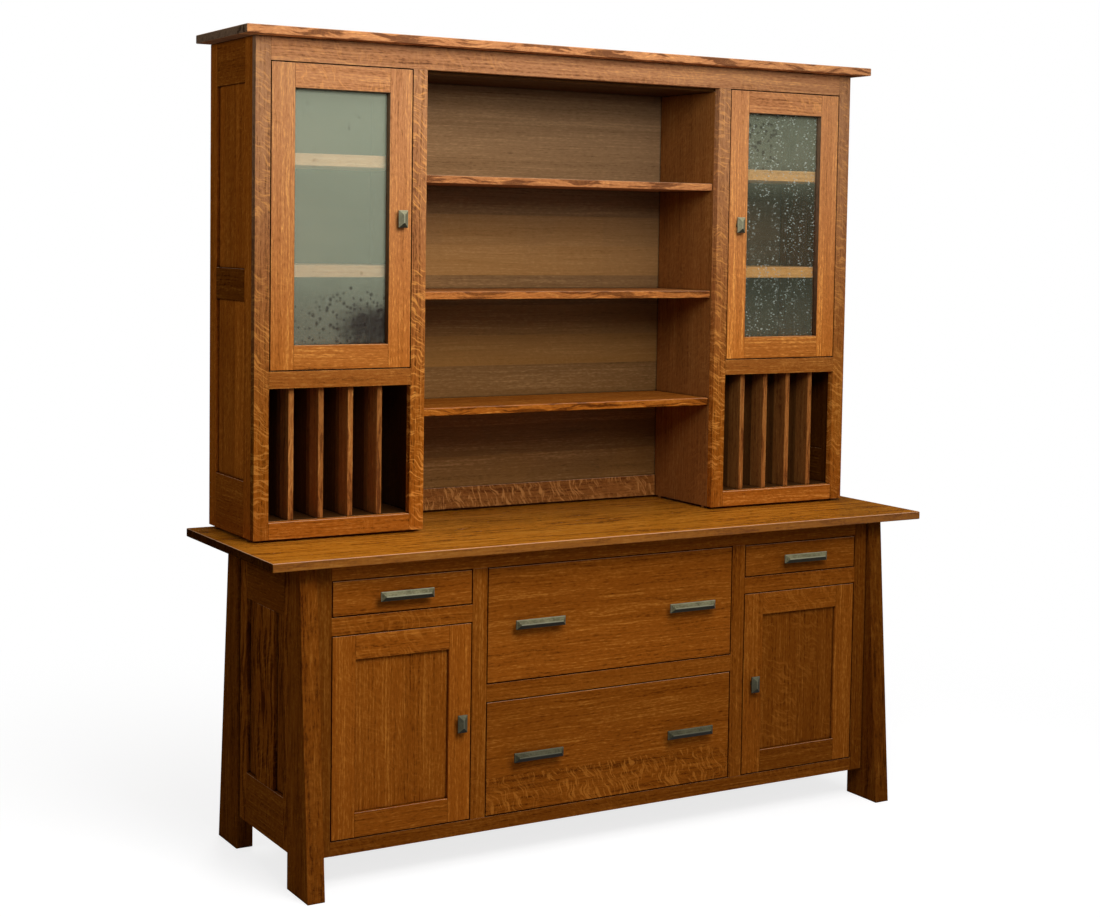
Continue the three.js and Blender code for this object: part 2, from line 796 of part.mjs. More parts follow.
// A drawer: its front fills the opening, and its box runs on the rail's level behind it.
function addDrawer(name, left, rightEdge, bottom, top, pullSpots) {
  const [frontLeft, frontRight] = [left + doorGap, rightEdge - doorGap];
  const boxFront = baseFrameBack + fit;
  const boxBack = baseBackFront - drawerBackGap;
  const boxBottom = bottom + fit;
  const boxTop = top - drawerHeadroom;
  const wall = drawerSideThickness;
  const front = board(
    frontLeft, frontRight, baseFront, baseFrameBack, bottom + doorGap, top - doorGap,
  );
  const place = [boxFront, boxBottom, boxTop];
  const sockets = [
    ...dovetails(frontLeft - overrun, frontLeft + wall + fit, ...place, fit),
    ...dovetails(frontRight - wall - fit, frontRight + overrun, ...place, fit),
  ];
  add(`${name}_front`, cut(front, ...sockets), oak);
  const walls = [
    [frontLeft, boxFront], [frontLeft + wall, boxFront], [frontLeft + wall, boxBack - wall],
    [frontRight - wall, boxBack - wall], [frontRight - wall, boxFront], [frontRight, boxFront],
    [frontRight, boxBack], [frontLeft, boxBack],
  ];
  const floorBottom = boxBottom + drawerBottomRaise;
  const floor = block(
    frontLeft + wall / 2, frontRight - wall / 2, boxFront, boxBack - wall / 2,
    floorBottom, floorBottom + drawerBottomThickness,
  );
  const tails = [
    ...dovetails(frontLeft, frontLeft + wall, ...place, 0),
    ...dovetails(frontRight - wall, frontRight, ...place, 0),
  ];
  const box = join(slab('z', boxBottom, boxTop, walls, [], 0), floor, ...tails);
  add(`${name}_box`, box, drawerWood);
  for (const [suffix, x] of Object.entries(pullSpots)) {
    addPull(`${name}_pull${suffix}`, x, baseFront, (bottom + top) / 2);
  }
}

function addDrawers() {
  for (const [side, hand] of Object.entries(sides)) {
    const ends = [hand * sideBayInner, hand * sideBayOuter];
    const middle = (ends[0] + ends[1]) / 2;
    const spots = { '': middle };
    const [left, rightEdge] = [Math.min(...ends), Math.max(...ends)];
    addDrawer(`side_drawer_${side}`, left, rightEdge, sideDrawerBottom, drawersTop, spots);
  }
  const place = 2 * centreBayHalf * pullPlaceShare;
  const spots = { _left: -place, _right: place };
  const centreDrawers = {
    upper: [upperDrawerBottom, drawersTop],
    lower: [baseRailTop, lowerDrawerTop],
  };
  for (const [level, [bottom, top]] of Object.entries(centreDrawers)) {
    const name = `centre_drawer_${level}`;
    addDrawer(name, -centreBayHalf, centreBayHalf, bottom, top, spots);
  }
}

addBase();
addHutch();
addDoors();
addDrawers();

export default group;
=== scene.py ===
# %% [markdown]
# # A dresser with a hutch, dressed in Blender
#
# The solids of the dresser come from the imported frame. This script gives them their looks. Most
# of the piece is oak boards, and a board shows three things that a plain solid lacks: a grain
# that runs along it, an eased arris on every edge, and a hairline where it meets the next board.
# So each frame is laid up again from its own stiles, rails and panels, in the places that the
# frame gives, and the metal and the glass get the same care.

# %% Load the frame
import json
import math

import bpy
import numpy as np
from mathutils import Matrix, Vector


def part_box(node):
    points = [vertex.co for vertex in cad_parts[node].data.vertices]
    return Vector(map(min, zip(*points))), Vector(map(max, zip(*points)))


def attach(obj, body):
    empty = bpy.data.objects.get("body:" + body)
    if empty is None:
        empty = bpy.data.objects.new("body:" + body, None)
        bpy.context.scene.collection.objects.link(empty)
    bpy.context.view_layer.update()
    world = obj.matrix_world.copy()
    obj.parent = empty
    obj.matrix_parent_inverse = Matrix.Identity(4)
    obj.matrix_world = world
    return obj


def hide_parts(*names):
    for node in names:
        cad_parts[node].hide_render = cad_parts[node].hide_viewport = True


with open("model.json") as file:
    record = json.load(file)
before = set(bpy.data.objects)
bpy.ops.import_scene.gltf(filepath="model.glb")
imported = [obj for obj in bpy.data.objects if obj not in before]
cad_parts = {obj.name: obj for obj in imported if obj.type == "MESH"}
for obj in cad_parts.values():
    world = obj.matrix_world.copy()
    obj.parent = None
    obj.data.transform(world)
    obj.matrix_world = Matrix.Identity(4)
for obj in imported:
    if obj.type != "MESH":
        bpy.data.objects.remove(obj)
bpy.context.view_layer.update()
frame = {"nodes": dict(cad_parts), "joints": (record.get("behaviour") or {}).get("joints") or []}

# %% [markdown]
# The camera stands in front of the dresser and to its left, about a metre and a half above the
# floor. Its place and angles were worked out from the perspective of the long edges. The point
# that the lens looks at isn't the middle of the picture, so the lens is shifted a little.

# %% Camera
image_width, image_height = 1100, 917
focal_length_px = 1867.97
principal_point_px = (523.18, 350.62)
camera_place = (-2.4434, -3.9801, 1.4788)
camera_yaw, camera_pitch, camera_roll = 30.009, 3.57, 0.8135


def turn(degrees, i, j):
    """A 3 by 3 turn in the plane of axes i and j: cosines on its diagonal, sines off it."""
    matrix = np.eye(3)
    angle = math.radians(degrees)
    matrix[i, i] = matrix[j, j] = math.cos(angle)
    matrix[i, j], matrix[j, i] = -math.sin(angle), math.sin(angle)
    return matrix


level_axes = np.array([[1, 0, 0], [0, 0, -1], [0, 1, 0]])
axes = turn(camera_roll, 0, 1) @ turn(camera_pitch, 1, 2) @ level_axes @ turn(camera_yaw, 0, 1)

lens = bpy.data.cameras.new("camera")
lens.sensor_width = 36
lens.lens = focal_length_px / image_width * lens.sensor_width
lens.shift_x = (image_width / 2 - principal_point_px[0]) / image_width
lens.shift_y = (principal_point_px[1] - image_height / 2) / image_width
camera = bpy.data.objects.new("camera", lens)
pose = np.eye(4)
pose[:3, :3] = np.column_stack([axes[0], -axes[1], -axes[2]])
pose[:3, 3] = camera_place
camera.matrix_world = Matrix(pose.tolist())
bpy.context.scene.collection.objects.link(camera)
bpy.context.scene.camera = camera
print("lens", round(lens.lens, 2), "mm, shift", round(lens.shift_x, 4), round(lens.shift_y, 4))

# %% [markdown]
# Shader maths reads best as sums. This small class stands for one output in a node tree, and its
# operators add the Math nodes. `Paint` is a material with its tree: its one method `node` takes a
# node's type, its settings, and the values or links of its sockets.


# %% Node helpers
class Value:
    """One output in a node tree. A sum, difference, product or quotient of values adds a Math node.
    """

    def __init__(self, paint, socket):
        self.paint, self.socket = paint, socket

    def math(self, operation, *terms):
        return self.paint.node("Math", {"operation": operation}, dict(enumerate(terms)))

    def __add__(self, other):
        return self.math("ADD", self, other)

    def __sub__(self, other):
        return self.math("SUBTRACT", self, other)

    def __rsub__(self, other):
        return self.math("SUBTRACT", other, self)

    def __mul__(self, other):
        return self.math("MULTIPLY", self, other)

    def __truediv__(self, other):
        return self.math("DIVIDE", self, other)

    __radd__, __rmul__ = __add__, __mul__

    def floor(self):
        return self.math("FLOOR", self)

    def out(self, name):
        return Value(self.paint, self.socket.node.outputs[name])


class Paint:
    """A material, or the world, with an empty node tree."""

    def __init__(self, owner):
        owner.use_nodes = True
        self.owner, self.tree = owner, owner.node_tree
        self.tree.nodes.clear()

    def node(self, kind, settings=None, inputs=None, output=0):
        """Adds a node. kind is its type without the ShaderNode that all the types start with."""
        made = self.tree.nodes.new("ShaderNode" + kind)
        for key, setting in (settings or {}).items():
            setattr(made, key, setting)
        for key, value in (inputs or {}).items():
            if isinstance(value, Value):
                self.tree.links.new(value.socket, made.inputs[key])
            else:
                made.inputs[key].default_value = value
        return Value(self, made.outputs[output]) if len(made.outputs) else made

    def vector(self, x, y, z):
        return self.node("CombineXYZ", inputs={0: x, 1: y, 2: z})

    def noise(self, x, y, z, detail=2.0, roughness=0.5):
        return self.node("TexNoise", inputs={
            "Vector": self.vector(x, y, z), "Scale": 1.0, "Detail": detail, "Roughness": roughness})

    def step(self, value, low, high):
        """0 below low and 1 above high, with a smooth step between them."""
        return self.node("MapRange", {"interpolation_type": "SMOOTHSTEP"}, {
            "Value": value, "From Min": low, "From Max": high})

    def mix(self, share, first, second):
        """The first colour where share is 0 and the second where it is 1."""
        return self.node("Mix", {"data_type": "RGBA"}, {0: share, 6: first, 7: second},
                         output=2)

    def scale(self, colour, factor):
        return self.node("VectorMath", {"operation": "SCALE"}, {0: colour, 3: factor})

    def split(self, vector):
        parts = self.node("SeparateXYZ", inputs={0: vector})
        return parts, parts.out("Y"), parts.out("Z")

    def attribute(self, name):
        read = self.node("Attribute", {"attribute_name": name}, output="Vector")
        return self.split(read)

    def place(self):
        return self.split(self.node("TexCoord", output="Object"))

    def upward(self):
        """1 on faces that look straight up, 0 on upright ones, -1 on those that look down."""
        return self.split(self.node("NewGeometry", output="Normal"))[2]

    def bump(self, height, strength, distance):
        return self.node("Bump", inputs={
            "Strength": strength, "Distance": distance, "Height": height})

    def seen(self):
        """1 for the camera's rays, and for those that gloss and glass send out."""
        path = self.node("LightPath")
        camera, gloss = path.out("Is Camera Ray"), path.out("Is Glossy Ray")
        return camera + gloss + path.out("Is Transmission Ray")

    def light(self, kind, strength):
        """A plain white background or emission."""
        return self.node(kind, inputs={"Color": hue(1, 1, 1), "Strength": strength})

    def surface(self, **sockets):
        """A Principled surface, with underscores for the blanks in its sockets' names."""
        inputs = {key.replace("_", " "): value for key, value in sockets.items()}
        shader = self.node("BsdfPrincipled", inputs=inputs)
        self.node("OutputMaterial", inputs={"Surface": shader})


def paint(name):
    return Paint(bpy.data.materials.new(name))


def hue(red, green, blue):
    return (red, green, blue, 1.0)


# %% [markdown]
# The room is a plain studio. The background is white to the camera, and to the rays that metal
# and glass send out, while a weaker even light fills the shadows. Three large soft lamps stand in
# front and overhead, and weaker ones light the left side of the hutch and the back. A dark screen
# stands at the left, because the photo shows that side of the dresser without a reflection of the
# room; it takes some light off that side too. Another one far behind is seen by reflections only,
# so that the polished top mirrors no white there.

# %% Room and lamps
bpy.context.scene.view_settings.view_transform = "Standard"
fill_strength = 0.15
world = Paint(bpy.data.worlds.new("studio"))
bpy.context.scene.world = world.owner
white, dim = world.light("Background", 1.0), world.light("Background", fill_strength)
sky = world.node("MixShader", inputs={0: world.seen(), 1: dim, 2: white})
world.node("OutputWorld", inputs={"Surface": sky})


def flat_sheet(name, corners, material):
    """Four corners joined by one face. It belongs to the room, not to the dresser."""
    mesh = bpy.data.meshes.new(name)
    mesh.from_pydata(corners, [], [range(len(corners))])
    mesh.materials.append(material)
    sheet = bpy.data.objects.new(name, mesh)
    bpy.context.scene.collection.objects.link(sheet)
    return sheet


floor_grey, floor_glow = (0.4, 0.4, 0.4), 0.78
glow_starts, glow_full = 1.0, 2.6


def white_floor():
    """Matt and pale, with a glow for the rays that see it. The glow grows with the distance from
    the dresser until the floor is as white as the background; near it the shadow stays."""
    p = paint("studio_floor")
    seen = p.seen()
    place = p.node("TexCoord", output="Object")
    away = p.node("VectorMath", {"operation": "LENGTH"}, {0: place}, output="Value")
    far = p.step(away, glow_starts, glow_full)
    matt = p.node("BsdfDiffuse", inputs={"Color": hue(*floor_grey)})
    glow = p.light("Emission", seen * floor_glow)
    near_floor = p.node("AddShader", inputs={0: matt, 1: glow})
    far_floor = p.light("Emission", 1.0)
    both = p.node("MixShader", inputs={0: far * seen, 1: near_floor, 2: far_floor})
    p.node("OutputMaterial", inputs={"Surface": both})
    return p.owner


reach = 30.0
flat_sheet("floor", [(reach * x, reach * y, 0) for x, y in ((-1, -1), (1, -1), (1, 1), (-1, 1))],
           white_floor())

screen_paint = paint("dark_screen")
screen_paint.surface(Base_Color=hue(0.02, 0.012, 0.008), Roughness=1.0)


def dark_screen(name, start, end, top, foot=0.02):
    """An upright dark sheet over the line between two places on the floor."""
    return flat_sheet(name, [(*start, foot), (*end, foot), (*end, top), (*start, top)],
                      screen_paint.owner)


screen = dark_screen("screen", (-2.9, -1.2), (-2.9, 16.0), 6.0)
screen.visible_camera = False
behind = dark_screen("screen_behind", (-3, 6), (14, 6), 7)
behind.visible_camera = behind.visible_diffuse = behind.visible_transmission = False
behind.visible_shadow = False


def soft_lamp(name, place, target, size, level, mirrored=True):
    """A square lamp whose light on a face turned to it, at the target, is the given level. One
    that isn't mirrored doesn't show in polished faces."""
    data = bpy.data.lights.new(name, "AREA")
    data.shape, data.size = "SQUARE", size
    away = np.subtract(place, target)
    distance = np.linalg.norm(away)
    data.energy = level * (math.pi * distance) ** 2
    lamp = bpy.data.objects.new(name, data)
    back = away / distance
    side = np.cross([0, 0, 1], back)
    side = side / np.linalg.norm(side)
    matrix = np.eye(4)
    matrix[:3, :3] = np.column_stack([side, np.cross(back, side), back])
    matrix[:3, 3] = place
    lamp.matrix_world = Matrix(matrix.tolist())
    lamp.visible_camera, lamp.visible_glossy = False, mirrored
    bpy.context.scene.collection.objects.link(lamp)


soft_lamp("key_lamp", (-0.45, -1.95, 2.45), (-0.1, 0.0, 1.55), 1.1, 0.80)
soft_lamp("window_lamp", (0.9, -4.0, 3.0), (-0.2, 0.0, 1.7), 1.8, 0.12)
soft_lamp("top_lamp", (-0.2, -1.2, 4.6), (0, -0.1, 0.8), 2.0, 0.28)
soft_lamp("side_lamp", (-2.6, 0.0, 2.0), (-0.9, 0.0, 1.5), 0.8, 0.22)
soft_lamp("back_lamp", (0.9, 3.6, 2.6), (0.0, 0.3, 1.1), 1.5, 0.35, False)

# %% [markdown]
# Oak first. Each board carries its own coordinates: along the grain, across it and through the
# thickness, in metres. The stain settles in the pores and the early wood, so fine dark lines run
# with the grain. Quartersawn faces also show ray fleck, pale flakes that lie across the grain,
# and flat-sawn edges show dark streaks. How much of each a board has is written on the board, so
# one material serves every board, and a wide board is drawn as staves glued side by side.

# %% Oak
edge_band, sheen_heights, gap_reach = (0.0018, 0.0008), (0.95, 1.95), 0.006
edge_brown, golden_brown = hue(0.17, 0.05, 0.005), hue(0.25, 0.11, 0.018)
sheen_brown, highlight_brown = hue(0.58, 0.42, 0.28), hue(0.85, 0.50, 0.30)


def stained_wood(name, dark, middle, light, shine, gloss, painted_sheen=0.0, spread=0.26, edge=1.0,
                 coarse=1.0, broad=0.0, golden=0.0):
    """Colour follows a sum of noises stretched along the grain, from dark over middle to light.
    Ray fleck is a sum of two noises stretched across the grain and bent by a wave, cut off above
    a level, in clumps that a slow noise picks. Arrises that face up get a painted highlight, and
    gaps and recesses a painted shade. shine is the roughness and gloss the specular level. The
    next argument paints a sheen that greys the upper parts, spread is how far the staves differ
    in tone, edge below 1 darkens the face where the coordinate across is 0, coarse below 1
    weakens the fine lines, broad adds wide ones, and golden turns some staves golden brown."""
    p = paint(name)
    along, across, through = p.attribute("grain")
    tone, fleck, streak = p.attribute("look")
    seed, stave, figured = p.attribute("board")
    fleck = fleck * p.step(figured - across, 0.0, 0.003)
    if edge < 1:
        at_edge = p.step(across, *edge_band) * (1 - edge)
    this_stave = p.vector((across / stave).floor(), seed, 0)
    chance = p.node("TexWhiteNoise", {"noise_dimensions": "2D"}, {0: this_stave})
    along = along + chance * 11.3

    def figure(length, width, detail=2, roughness=0.5):
        """A noise with this many cells per metre along the grain, and across and through it."""
        return p.noise(along * length, across * width, through * width, detail, roughness)

    drift = figure(2.2, 8, 1) - 0.5
    sway = figure(8, 10, 1) - 0.5
    across = across + chance * 5.1 + drift * 0.014 + sway * (streak * 0.05 + 0.006)
    bands = figure(0.9, 26) - 0.5
    lines = figure(3.2, 230, 3, 0.6) - 0.5
    dashes = figure(24, 190) - 0.5
    ticks = figure(75, 270, 1) - 0.5
    pores = figure(55, 620, 2, 0.6) - 0.5
    streaks = p.step(figure(9, 75, 3), 0.47, 0.62)
    wave = figure(16, 22, 1) - 0.5
    slanted = along + across * 0.45 + wave * 0.05
    wide = p.noise(slanted * 105, across * 22, through * 22)
    fine = p.noise(slanted * 230, across * 38, through * 38)
    clumps = p.step(p.noise(along * 5, across * 9, 0, detail=1) + fleck * 0.1, 0.42, 0.60)
    flakes = p.step(wide * 0.55 + fine * 0.45, 0.50, 0.59) * clumps * fleck
    depth = 0.54 + bands * 0.7 + lines * (0.4 + 0.8 * coarse) + pores * 0.4
    depth = depth + (dashes * 0.75 + ticks) * (0.35 + 0.4 * coarse)
    depth = depth - streaks * streak * 0.9 - fleck * 0.12
    if broad:
        depth = depth + (figure(1.6, 75) - 0.5) * broad
    low = p.mix(p.step(depth, 0.0, 0.5), dark, middle)
    stain = p.mix(p.step(depth, 0.5, 1.0), low, light)
    if golden:
        stain = p.mix(p.step(chance, 0.6, 0.75) * golden, stain, golden_brown)
    stain = p.mix(flakes * 0.62, stain, light)
    stain = p.scale(stain, tone * (1 - spread / 2 + chance * spread) * (1 + flakes * 0.15))
    # Painted sheen: the upper parts are greyed towards a pale brown.
    if painted_sheen:
        _, _, height = p.place()
        sheen = p.step(height, *sheen_heights) * (0.3 + 0.7 * p.step(depth, 0.0, 0.6)) * painted_sheen
        stain = p.mix(sheen, stain, sheen_brown)
    upward = p.upward()
    # Painted shade: ambient occlusion darkens gaps, creases and recesses.
    open_air = p.node("AmbientOcclusion", {"samples": 4}, {"Distance": gap_reach},
                      output="AO")
    stain = p.scale(stain, 0.08 + 0.92 * p.step(open_air, 0.3, 0.92))
    if edge < 1:
        stain = p.mix(at_edge, stain, edge_brown)
    # Painted highlight: arrises that face up are drawn pale, but not inside gaps.
    rub_and_highlight = p.step(upward, 0.2, 0.5) * (1 - p.step(upward, 0.92, 0.98))
    stain = p.mix(rub_and_highlight * p.step(open_air, 0.6, 0.9) * 0.8, stain, highlight_brown)
    relief = lines * 0.6 + p.step(pores, -0.2, 0.0) + flakes * 0.3
    bump = p.bump(relief, 0.35, 0.0004)
    p.surface(Base_Color=stain, Roughness=shine + (0.5 - depth) * 0.12 - flakes * 0.05,
              Normal=bump, Specular_IOR_Level=gloss)
    return p.owner


stained_oak = stained_wood("stained_oak", hue(0.085, 0.018, 0.002), hue(0.27, 0.071, 0.006),
                           hue(0.50, 0.175, 0.022), 0.42, 0.0)
top_oak = stained_wood("top_oak", hue(0.13, 0.034, 0.003), hue(0.41, 0.140, 0.009),
                       hue(0.60, 0.25, 0.03), 0.20, 0.12, edge=0.35, broad=0.7)
hutch_oak = stained_wood("hutch_oak", hue(0.085, 0.020, 0.002), hue(0.32, 0.090, 0.008),
                         hue(0.62, 0.255, 0.045), 0.40, 0.0, 0.32)
back_oak = stained_wood("back_oak", hue(0.08, 0.037, 0.011), hue(0.20, 0.096, 0.028),
                        hue(0.38, 0.205, 0.078), 0.40, 0.05, 0.18, 0.55, coarse=0.6, golden=0.45)
inner_oak = stained_wood("inner_oak", hue(0.10, 0.028, 0.006), hue(0.26, 0.092, 0.020),
                         hue(0.42, 0.185, 0.048), 0.48, 0.03)
drawer_wood = stained_wood("drawer_wood", hue(0.42, 0.24, 0.10), hue(0.58, 0.38, 0.19),
                           hue(0.70, 0.50, 0.28), 0.5, 0.2)

# %% [markdown]
# The pulls and knobs are cast and given a dark olive pewter colour, then rubbed so that the raised
# edges are paler; on the sloping faces of the knobs the rub is also a painted highlight. Each point
# of them carries a number for how much it was rubbed. Painted shade darkens the faces that look
# down and the pulls and knobs that sit low. The faces that look down and the pulls and knobs that
# sit low are drawn darker, as the photo shows them. That may be shade rather than finish, which one
# photo can't tell apart. The small pivot pins of the doors are as dark as the lowest pull, at any
# height.

# %% Pewter
low_shade_share, pewter_shade_heights = 0.36, (0.32, 0.7)


def cast_pewter():
    """Two greys mixed by a fine mottle. Rubbing pulls the colour to a paler, smoother metal, and
    painted shade scales the whole by how far the face looks up and by the third grain coordinate.
    On pulls and knobs that is the height above the floor; on the upright pivot pins it isn't."""
    p = paint("pewter")
    x, y, z = p.attribute("grain")
    rub_and_highlight, _, _ = p.attribute("look")
    mottle = p.noise(x * 260, y * 260, z * 260, detail=4, roughness=0.6)
    coarse = p.noise(x * 40, y * 40, z * 40)
    shade = p.mix(p.step(mottle * 0.6 + coarse * 0.4, 0.38, 0.62),
                  hue(0.11, 0.10, 0.052), hue(0.22, 0.205, 0.115))
    shade = p.mix(rub_and_highlight, shade, hue(0.56, 0.54, 0.36))
    # Painted shade: darker where the face looks down, and darker low down.
    shade = p.scale(shade, 0.12 + 1.05 * p.step(p.upward(), -0.5, 0.4))
    shade = p.scale(shade, low_shade_share + (1 - low_shade_share) * p.step(z, *pewter_shade_heights))
    bump = p.bump(mottle, 0.5, 0.0003)
    p.surface(Base_Color=shade, Metallic=0.15, Roughness=0.5 - rub_and_highlight * 0.12 + (mottle - 0.5) * 0.2,
              Normal=bump, Specular_IOR_Level=0.1)
    return p.owner


pewter = cast_pewter()

# %% [markdown]
# The panes are seeded glass: it has small bubbles and gentle waves, as old glass does. A grey-green
# veil of painted reflection nearly hides what is behind it, apart from the pale front edges of the
# shelves, and the dark dots and patches on it are painted reflections too.

# %% Seeded glass
pane_foot, pane_head, pane_outside, pane_inside = (1.42, 1.24), (1.56, 1.70), 0.72, 0.58


def seeded_glass(name, tint, level, head, foot, specks, blots):
    """Clear glass with a veil of painted reflection: a level, and what is added near the head and
    the foot. Cells of two Voronoi patterns make pale seeds, drawn out upwards and gathered in
    columns, and dark dots. Dots and ragged dark patches, painted reflections too, gather where a
    slow sum of ramps is high."""
    p = paint(name)
    x, _, z = p.place()

    def round_cells(across, up, rare):
        cells = p.node("TexVoronoi", {"voronoi_dimensions": "3D"}, {
            "Vector": p.vector(x * across, 0, z * up), "Scale": 1.0, "Randomness": 1.0})
        size = p.node("SeparateColor", inputs={0: cells.out("Color")})
        return p.step((size - rare) * 0.9 - cells.out("Distance"), 0.0, 0.1)

    columns = p.step(p.noise(x * 50, 0, z * 9, detail=1), 0.40, 0.55)
    seeds = round_cells(330, 210, 0.42) * columns * specks
    cloud = p.noise(x * 16, 0, z * 16, detail=2) - 0.5
    ragged = p.noise(x * 70, 0, z * 70, detail=1) - 0.5
    near_foot = p.step(z, *pane_foot)
    near_head = p.step(z, *pane_head)
    right_side = p.step(x, -pane_outside, -pane_inside)
    left_side = p.step(x, pane_outside, pane_inside)
    # Painted reflection: where the dark patches and dots gather.
    wear_and_painted_light = near_foot * (0.28 + right_side * 0.5) * blots + near_head * left_side * specks * 0.35
    patches = p.step(wear_and_painted_light + cloud * 0.5 + ragged * 0.25, 0.42, 0.78)
    dots = round_cells(115, 110, 0.3) * p.step(wear_and_painted_light + cloud * 0.9, 0.05, 0.3)
    dark_reflection = 1 - (1 - patches * 0.88) * (1 - dots * 0.7)
    # Painted reflection: how thick the grey veil is.
    reflected_veil = near_head * head + near_foot * foot + level + cloud * 0.2 * level
    waves = p.noise(x * 26, 0, z * 9, detail=2)
    bump = p.bump(waves, 0.3, 0.0004)
    veil = p.mix(near_foot * blots * 0.45, tint, hue(0.44, 0.38, 0.27))
    veil = p.mix(seeds, veil, hue(0.8, 0.86, 0.76))
    veil = p.mix(dark_reflection, veil, hue(0.045, 0.028, 0.026))
    alpha = 0.03 + reflected_veil * 0.3 + seeds * 0.3 + dark_reflection * 0.1
    p.surface(Base_Color=veil, Roughness=0.12, Alpha=alpha, Normal=bump, IOR=1.5,
              Specular_IOR_Level=0.2)
    return p.owner


left_glass = seeded_glass("seeded_glass_left", hue(0.58, 0.64, 0.46), 0.70, 0.14, -0.22, 0.1, 1.0)
right_glass = seeded_glass("seeded_glass_right", hue(0.57, 0.62, 0.42), 0.03, 0.42, 0.12, 1.0, 0.3)

# %% [markdown]
# A board with eased edges is an outline carried along one axis. At each station the outline is
# drawn in by some distance, which rounds the arris where the faces turn, and the outline's own
# corners are small arcs. The same function makes turned pins and the sloping faces of a pull.

# %% Boards from outlines
arris, hairline = 0.0009, 0.0002
arc_steps = 3
undivided = 9.0  # wider than any board, so the board is one stave, and fleck may cover all of it
seeds = np.random.RandomState(7)


def rings(outline, radius, insets, heights):
    """Stations by points: each corner of the outline moves in along its bisector by the inset
    plus the radius, and then out by the radius in directions that turn from one edge's normal
    to the next one's."""
    corners = np.asarray(outline, float)
    edges = np.roll(corners, -1, 0) - corners
    if np.sum(corners[:, 0] * edges[:, 1] - corners[:, 1] * edges[:, 0]) < 0:
        return rings(corners[::-1], radius, insets, heights)
    normals = np.column_stack([edges[:, 1], -edges[:, 0]])
    normals /= np.linalg.norm(normals, axis=1)[:, None]
    before = np.roll(normals, 1, 0)
    bisectors = (before + normals) / (1 + np.sum(before * normals, 1))[:, None]
    share = np.linspace(0, 1, arc_steps + 1)[None, :, None]
    fans = before[:, None] * (1 - share) + normals[:, None] * share
    fans /= np.linalg.norm(fans, axis=2)[:, :, None]
    moved = np.asarray(insets, float)[:, None, None, None] + radius
    points = corners[None, :, None] - moved * bisectors[None, :, None] + radius * fans[None]
    flat = points.reshape(len(insets), -1, 2)
    tall = np.broadcast_to(np.asarray(heights, float)[:, None, None], flat.shape[:2] + (1,))
    return np.concatenate([flat, tall], 2)


def shell(grid):
    """Points and faces of a closed body: four-sided faces between stations and two end caps."""
    stations, around = grid.shape[:2]
    index = np.arange(stations * around).reshape(stations, around)
    ahead = np.roll(index, -1, 1)
    quads = np.stack([index[:-1], ahead[:-1], ahead[1:], index[1:]], -1).reshape(-1, 4)
    return grid.reshape(-1, 3), quads.tolist() + [index[0][::-1].tolist(), index[-1].tolist()]


def eased(low, high, radius):
    """Insets and heights that round both ends of a body: a quarter circle at each end."""
    angles = np.linspace(0, math.pi / 2, arc_steps + 1)
    insets, rise = radius * (1 - np.sin(angles)), radius * (1 - np.cos(angles))
    return np.r_[insets, insets[::-1]], np.r_[low + rise, high - rise[::-1]]


def board(low, high, grain, tone=1.0, fleck=0.3, streak=0.0, stave=undivided, ease=arris,
          outline=None, axis=None, face=None, figured=undivided):
    """A board between two corners, or an outline carried along an axis between them. Its look is
    written on every point: grain coordinates, tone, fleck, streak, the width of its staves, and
    the width of the strip that shows fleck."""
    corners = np.sort(np.array([low, high], float), 0)
    size = corners[1] - corners[0]
    axis = int(np.argmin(size)) if axis is None else axis
    u, v = (axis + 1) % 3, (axis + 2) % 3
    if outline is None:
        outline = [(corners[i][u], corners[j][v]) for i, j in ((0, 0), (1, 0), (1, 1), (0, 1))]
    grid = rings(outline, ease, *eased(corners[0][axis], corners[1][axis], ease))
    points, faces = shell(np.roll(grid, axis + 1, -1))  # from along z to along the axis
    rest = [i for i in range(3) if i != grain]
    across = max(rest, key=lambda i: size[i]) if face is None else face
    order = [grain, across, 3 - grain - across]
    return {
        "points": points,
        "faces": faces,
        "grain": (points - corners[0])[:, order],
        "look": np.tile([tone, fleck, streak], (len(points), 1)),
        "board": np.tile([seeds.uniform(0, 50), stave, figured], (len(points), 1)),
    }


def piece(name, parts, body, material, nodes=()):
    """Puts several bodies into one mesh with their attributes, and rides it on a moving body."""
    starts = np.cumsum([0] + [len(part["points"]) for part in parts])
    faces = [[i + int(start) for i in face]
             for part, start in zip(parts, starts) for face in part["faces"]]
    mesh = bpy.data.meshes.new(name)
    mesh.from_pydata(np.vstack([part["points"] for part in parts]).tolist(), [], faces)
    for key in ("grain", "look", "board"):
        values = np.vstack([part[key] for part in parts]).astype(np.float32)
        mesh.attributes.new(key, "FLOAT_VECTOR", "POINT").data.foreach_set("vector", values.ravel())
    mesh.materials.append(material)
    mesh.validate()
    made = bpy.data.objects.new(name, mesh)
    bpy.context.scene.collection.objects.link(made)
    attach(made, body)
    if nodes:
        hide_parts(*nodes)
    return made


def oak_piece(node, parts, body="cabinet", material=stained_oak):
    """The boards that stand for one node of the frame."""
    return piece(node + "_boards", parts, body, material, [node])


def graded(part, axis, ends, tones):
    """Scales a board's tone along an axis, evenly from one of two places to the other."""
    part["look"][:, 0] *= np.interp(part["points"][:, axis], ends, tones)
    return part


X, Y, Z = 0, 1, 2
square = 0.0003
sides = {"left": -1, "right": 1}


def corners_of(node):
    low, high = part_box(node)
    return np.array(low), np.array(high)


print("a board has", len(board((0, 0, 0), (1, 0.1, 0.02), X)["faces"]), "faces")

# %% [markdown]
# The top of the base is one wide board, glued up from staves, and the crown of the hutch is a
# second one. The top darkens to the back, where it lies in the shade of the hutch. The real
# crown has a lively flat-sawn front edge, with dark streaks in it. The face and the long edges of
# the top are polished: a second material on the same mesh keeps its ends and underside dull.

